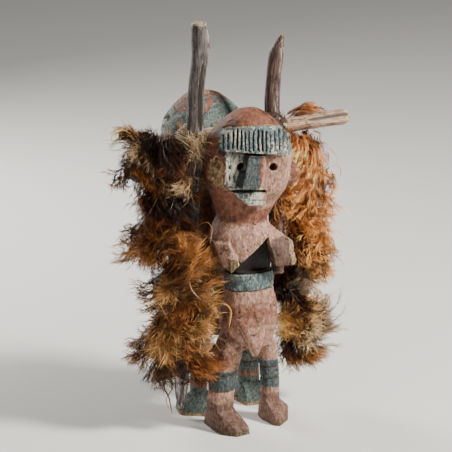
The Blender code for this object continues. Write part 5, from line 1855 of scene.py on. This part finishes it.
# %% Fibre strips
STRIP_STEPS, LOOP_STEPS = 9, 45


def strips(paths, thickness, tones, sides=4):
    """Corners, colours and triangles of thin tubes along many paths of equal length."""
    paths = np.asarray(paths)
    count, steps = paths.shape[:2]
    tangent = unit(np.gradient(paths, axis=1))
    side = unit(np.cross(tangent, np.array([0.31, 0.22, 0.93])))
    over = np.cross(tangent, side)
    angle = math.tau * np.arange(sides) / sides
    thickness = np.broadcast_to(thickness, (count, steps))[..., None, None]
    ring = (side[:, :, None] * np.cos(angle)[:, None] * thickness + over[:, :, None] * np.sin(angle)[:, None]
            * thickness * 0.55)
    corners = (paths[:, :, None] + ring).reshape(count, -1, 3)
    colours = np.repeat(np.broadcast_to(tones, (count, steps, 3)), sides, 1)
    triangles = []
    for step in range(steps - 1):
        for k in range(sides):
            a, b = step * sides + k, step * sides + (k + 1) % sides
            triangles += [(a, b, b + sides), (a, b + sides, a + sides)]
    return corners, colours, np.array(triangles)


def windings(centre, across, deep, count, width, random):
    """Loops round both sticks, on two crossing slants, none quite in the track of another."""
    turn = np.linspace(0, math.tau, LOOP_STEPS)
    paths = []
    for number in range(count):
        slant = math.radians(45 if number % 2 else -45) + random.normal() * 0.16
        along = np.array([math.cos(slant), 0, math.sin(slant)])
        aside = np.array([-math.sin(slant), 0, math.cos(slant)])
        offset = (random.random() - 0.5) * width
        swell = 1 + 0.10 * random.random() + 0.05 * np.sin(turn * 3 + random.random() * 6)
        loop = (along * (np.cos(turn) * across * swell)[:, None]
                + np.array([0, 1, 0]) * (np.sin(turn) * deep * swell)[:, None] + aside * offset)
        loop = loop + aside * (0.0012 * np.sin(turn * 2 + random.random() * 6))[:, None]
        paths.append(centre + loop)
    return np.array(paths)


def frayed(centre, aims, count, length, bend, random, scatter=0.004):
    """Loose ends that spring from a knot and curl under their own weight."""
    t = np.linspace(0, 1, STRIP_STEPS)
    paths = []
    for _ in range(count):
        aim = np.array(aims[random.integers(len(aims))], float) + random.normal(size=3) * 0.28
        aim /= np.linalg.norm(aim)
        side = np.cross(aim, random.normal(size=3))
        side /= np.linalg.norm(side)
        reach = length * (0.5 + 0.6 * random.random())
        curve = bend * random.normal()
        path = aim * (t * reach)[:, None] + side * (curve * t**2 * reach)[:, None]
        path[:, 2] -= 0.25 * reach * t**2 * random.random()
        paths.append(centre + random.normal(size=3) * scatter + path)
    return np.array(paths)


def fibre_tones(stages, paths, random):
    """Along each strip the tone drifts, and no two strips match."""
    count, steps = paths.shape[:2]
    mix = random.random((count, 1, 1)) * 0.8 + 0.2 * random.random((count, steps, 1))
    tone = np.array(stages[0]) * (1 - mix) + np.array(stages[1]) * mix
    return tone * (0.75 + 0.5 * random.random((count, 1, 1)))


print("corners in a winding:", LOOP_STEPS * 4)

# %% The two ties
RAFFIA = [srgb(134, 100, 66), srgb(226, 200, 158)]
DARK_FIBRE = [srgb(40, 24, 14), srgb(104, 74, 46)]
LEFT_AIMS = [(-0.75, -0.35, 0.75), (-0.95, -0.3, 0.25), (-0.2, -0.4, 0.9), (-0.6, -0.5, -0.7),
             (0.15, -0.6, -0.75), (0.85, -0.45, 0.5)]
HAIR_AIMS = [(0.1, -0.3, 1), (-0.4, -0.3, 0.9), (0.6, -0.4, 0.6)]
RIGHT_AIMS = [(-0.3, -0.5, 0.7), (0.6, -0.5, -0.3), (0.5, -0.4, 0.7), (-0.7, -0.4, 0.2), (0.2, -0.6, -0.8)]
left_knot = np.array([(left_low.x + left_high.x) / 2 + 0.001, MIDDLE.y - 0.011, BAR_HEIGHT - 0.001])
right_knot = np.array([(right_low.x + right_high.x) / 2 - 0.0022, MIDDLE.y - 0.0105, BAR_HEIGHT + 0.001])
random = np.random.default_rng(31)
taper = np.linspace(1, 0.35, STRIP_STEPS)


def tie_strips(paths, thickness, stages, sides=3):
    return strips(paths, thickness, fibre_tones(stages, paths, random), sides)


raffia = [tie_strips(windings(left_knot, 0.0158, 0.0228, 40, 0.020, random), 0.00075, RAFFIA, 4)]
before_knot = left_knot + np.array([-0.003, -0.021, -0.004])
raffia.append(tie_strips(frayed(before_knot, LEFT_AIMS, 150, 0.024, 0.35, random), 0.00055 * taper, RAFFIA))
hair_root = before_knot + np.array([0.004, 0, 0.004])
raffia.append(tie_strips(frayed(hair_root, HAIR_AIMS, 70, 0.022, 0.45, random), 0.0003 * taper, DARK_FIBRE))
left_tie = plumage("raffia_tie", raffia)

crust = [tie_strips(windings(right_knot, 0.0148, 0.0208, 26, 0.022, random), 0.0009, DARK_FIBRE, 4)]
over_crust = right_knot + np.array([0.0, -0.019, 0.012])
ends = frayed(over_crust, RIGHT_AIMS, 60, 0.011, 0.5, random, 0.006)
crust.append(tie_strips(ends, 0.0004 * taper, [DARK_FIBRE[0], RAFFIA[0]]))
right_tie = plumage("crusted_tie", crust)
print("ties:", len(left_tie.data.polygons), len(right_tie.data.polygons), "triangles")

# %% [markdown]
# The crust is a lump of resin and dirt pressed into the right tie. A ball is squeezed to the tie's size and
# pushed about by noise at three scales, from thumb marks down to crumbs, with pale bits stuck in it.

# %% Resin crust
def resin_lump(name, middle, half, seed):
    body = bmesh.new()
    bmesh.ops.create_icosphere(body, subdivisions=5, radius=1)
    mesh = bpy.data.meshes.new(name)
    body.to_mesh(mesh)
    body.free()
    ball = coordinates(mesh)
    rough = (0.20 * noise(ball, 0.75, seed) + 0.13 * noise(ball, 0.30, seed + 1)
             + 0.10 * np.abs(noise(ball, 0.13, seed + 2)) + 0.05 * noise(ball, 0.06, seed + 3))
    set_coordinates(mesh, np.array(middle) + ball * (1 + rough)[:, None] * np.array(half))
    mix = ramp(rough, -0.15, 0.30)[:, None]
    crumbs = ramp(noise(ball, 0.10, seed + 5) + 0.5 * noise(ball, 0.4, seed + 6), 0.45, 0.62)[:, None]
    tone = np.array(srgb(18, 9, 5)) * (1 - mix) + np.array(srgb(70, 44, 27)) * mix
    set_colours(mesh, "tint", tone * (1 - crumbs) + np.array(srgb(206, 182, 142)) * crumbs)
    shade_smooth(mesh)
    return linked(name, mesh)


resin_middle = right_knot + np.array([0.001, -0.002, 0.0])
collar_middle = right_knot + np.array([-0.001, -0.0125, 0.0090])
resin = resin_lump("resin_crust", resin_middle, (0.0150, 0.0190, 0.0160), 70)
collar = resin_lump("resin_collar", collar_middle, (0.0150, 0.0140, 0.0165), 76)
print("crust:", len(resin.data.polygons), "triangles")

# %% Material of the fibre and the crust
def dry_fibre(name, roughness, relief):
    """Streaked fibre with dark specks."""
    made, tree, shader, position = new_material(name)
    streak = use(tree, fibres, position, Scale=1300, Stretch=0.4)
    speck = use(tree, pores, position, Scale=900, Density=0.6)
    colour = blend(tree, times(tree, speck, 0.6), tinted(tree, streak, 0.65, 1.3), srgb(36, 24, 14))
    rough = spread(tree, streak, roughness - 0.12, roughness + 0.1)
    finish_shader(tree, shader, colour, rough, streak, relief, 0.0005)
    return made


dress(left_tie, "fibre_lashing_left", dry_fibre("dry raffia", 0.62, 0.4))
resin_finish = dry_fibre("fibre crusted with resin", 0.70, 0.8)
for piece in (right_tie, resin, collar):
    dress(piece, "fibre_lashing_right", resin_finish)
print("ties finished")

# %% [markdown]
# ### Loose quills and threads
#
# A few odd pieces hang out of the tufts: a curled feather with a sharp tip, a hook, a bare white quill, a thin
# arched feather against the hip, and a twisted brown strip. Each is a curve through a few places that the
# photograph shows, swept by a flat strip that swells in the middle and thins to a point.

# %% Loose quills
LOOSE_STEPS = 17
PICTURE_MIDDLE = 240


def curve_through(places):
    """A smooth path through picture places, each across, down and depth Y."""
    corners = np.array([seen_at(*place) for place in places])
    rows = np.column_stack([np.linspace(0, 1, len(corners)), corners])
    return between_rows(rows, np.linspace(0, 1, LOOSE_STEPS))


LOOSE = [
    ([(131, 134, -.012), (122, 130, -.014), (114, 133, -.016), (111, 142, -.016)], 0.0016, "cream"),
    ([(134, 138, -.014), (132, 130, -.016), (129, 126, -.016), (126, 128, -.016)], 0.0008, "brown"),
    ([(189, 279, -.056), (191, 288, -.058), (196, 295, -.059), (201, 300, -.058)], 0.0006, "white"),
    ([(214, 303, -.050), (224, 304, -.056), (231, 312, -.058), (229, 328, -.056)], 0.0015, "golden"),
    ([(168, 372, -.020), (164, 386, -.022), (169, 398, -.020), (172, 414, -.018)], 0.0012, "olive"),
    ([(170, 374, -.022), (172, 388, -.020), (166, 400, -.022), (170, 410, -.020)], 0.0009, "brown"),
    ([(325, 170, -.006), (336, 165, -.006), (341, 172, -.005), (338, 184, -.004)], 0.0007, "bright"),
    ([(318, 300, -.010), (326, 294, -.008), (330, 302, -.007), (327, 312, -.006)], 0.0007, "golden"),
    ([(196, 226, -.050), (206, 222, -.052), (212, 230, -.052), (210, 244, -.050)], 0.0008, "orange"),
]
swell = np.sin(np.linspace(0.12, math.pi - 0.05, LOOSE_STEPS)) ** 0.7
shares = np.linspace(0, 1, LOOSE_STEPS)[None, :, None]
for side in ("left", "right"):
    growths = []
    for places, half, tone in LOOSE:
        if (places[0][0] > PICTURE_MIDDLE) == (side == "right"):
            tones = np.array(TONES[tone][1]) * (1 - shares) + np.array(TONES[tone][2]) * shares
            growths.append(strips(curve_through(places)[None], half * swell, tones, 6))
    quills = plumage(f"{side}_loose_quills", growths)
    dress(quills, f"feather_garland_{side}", feather_finish)
    print(quills.name, len(growths))
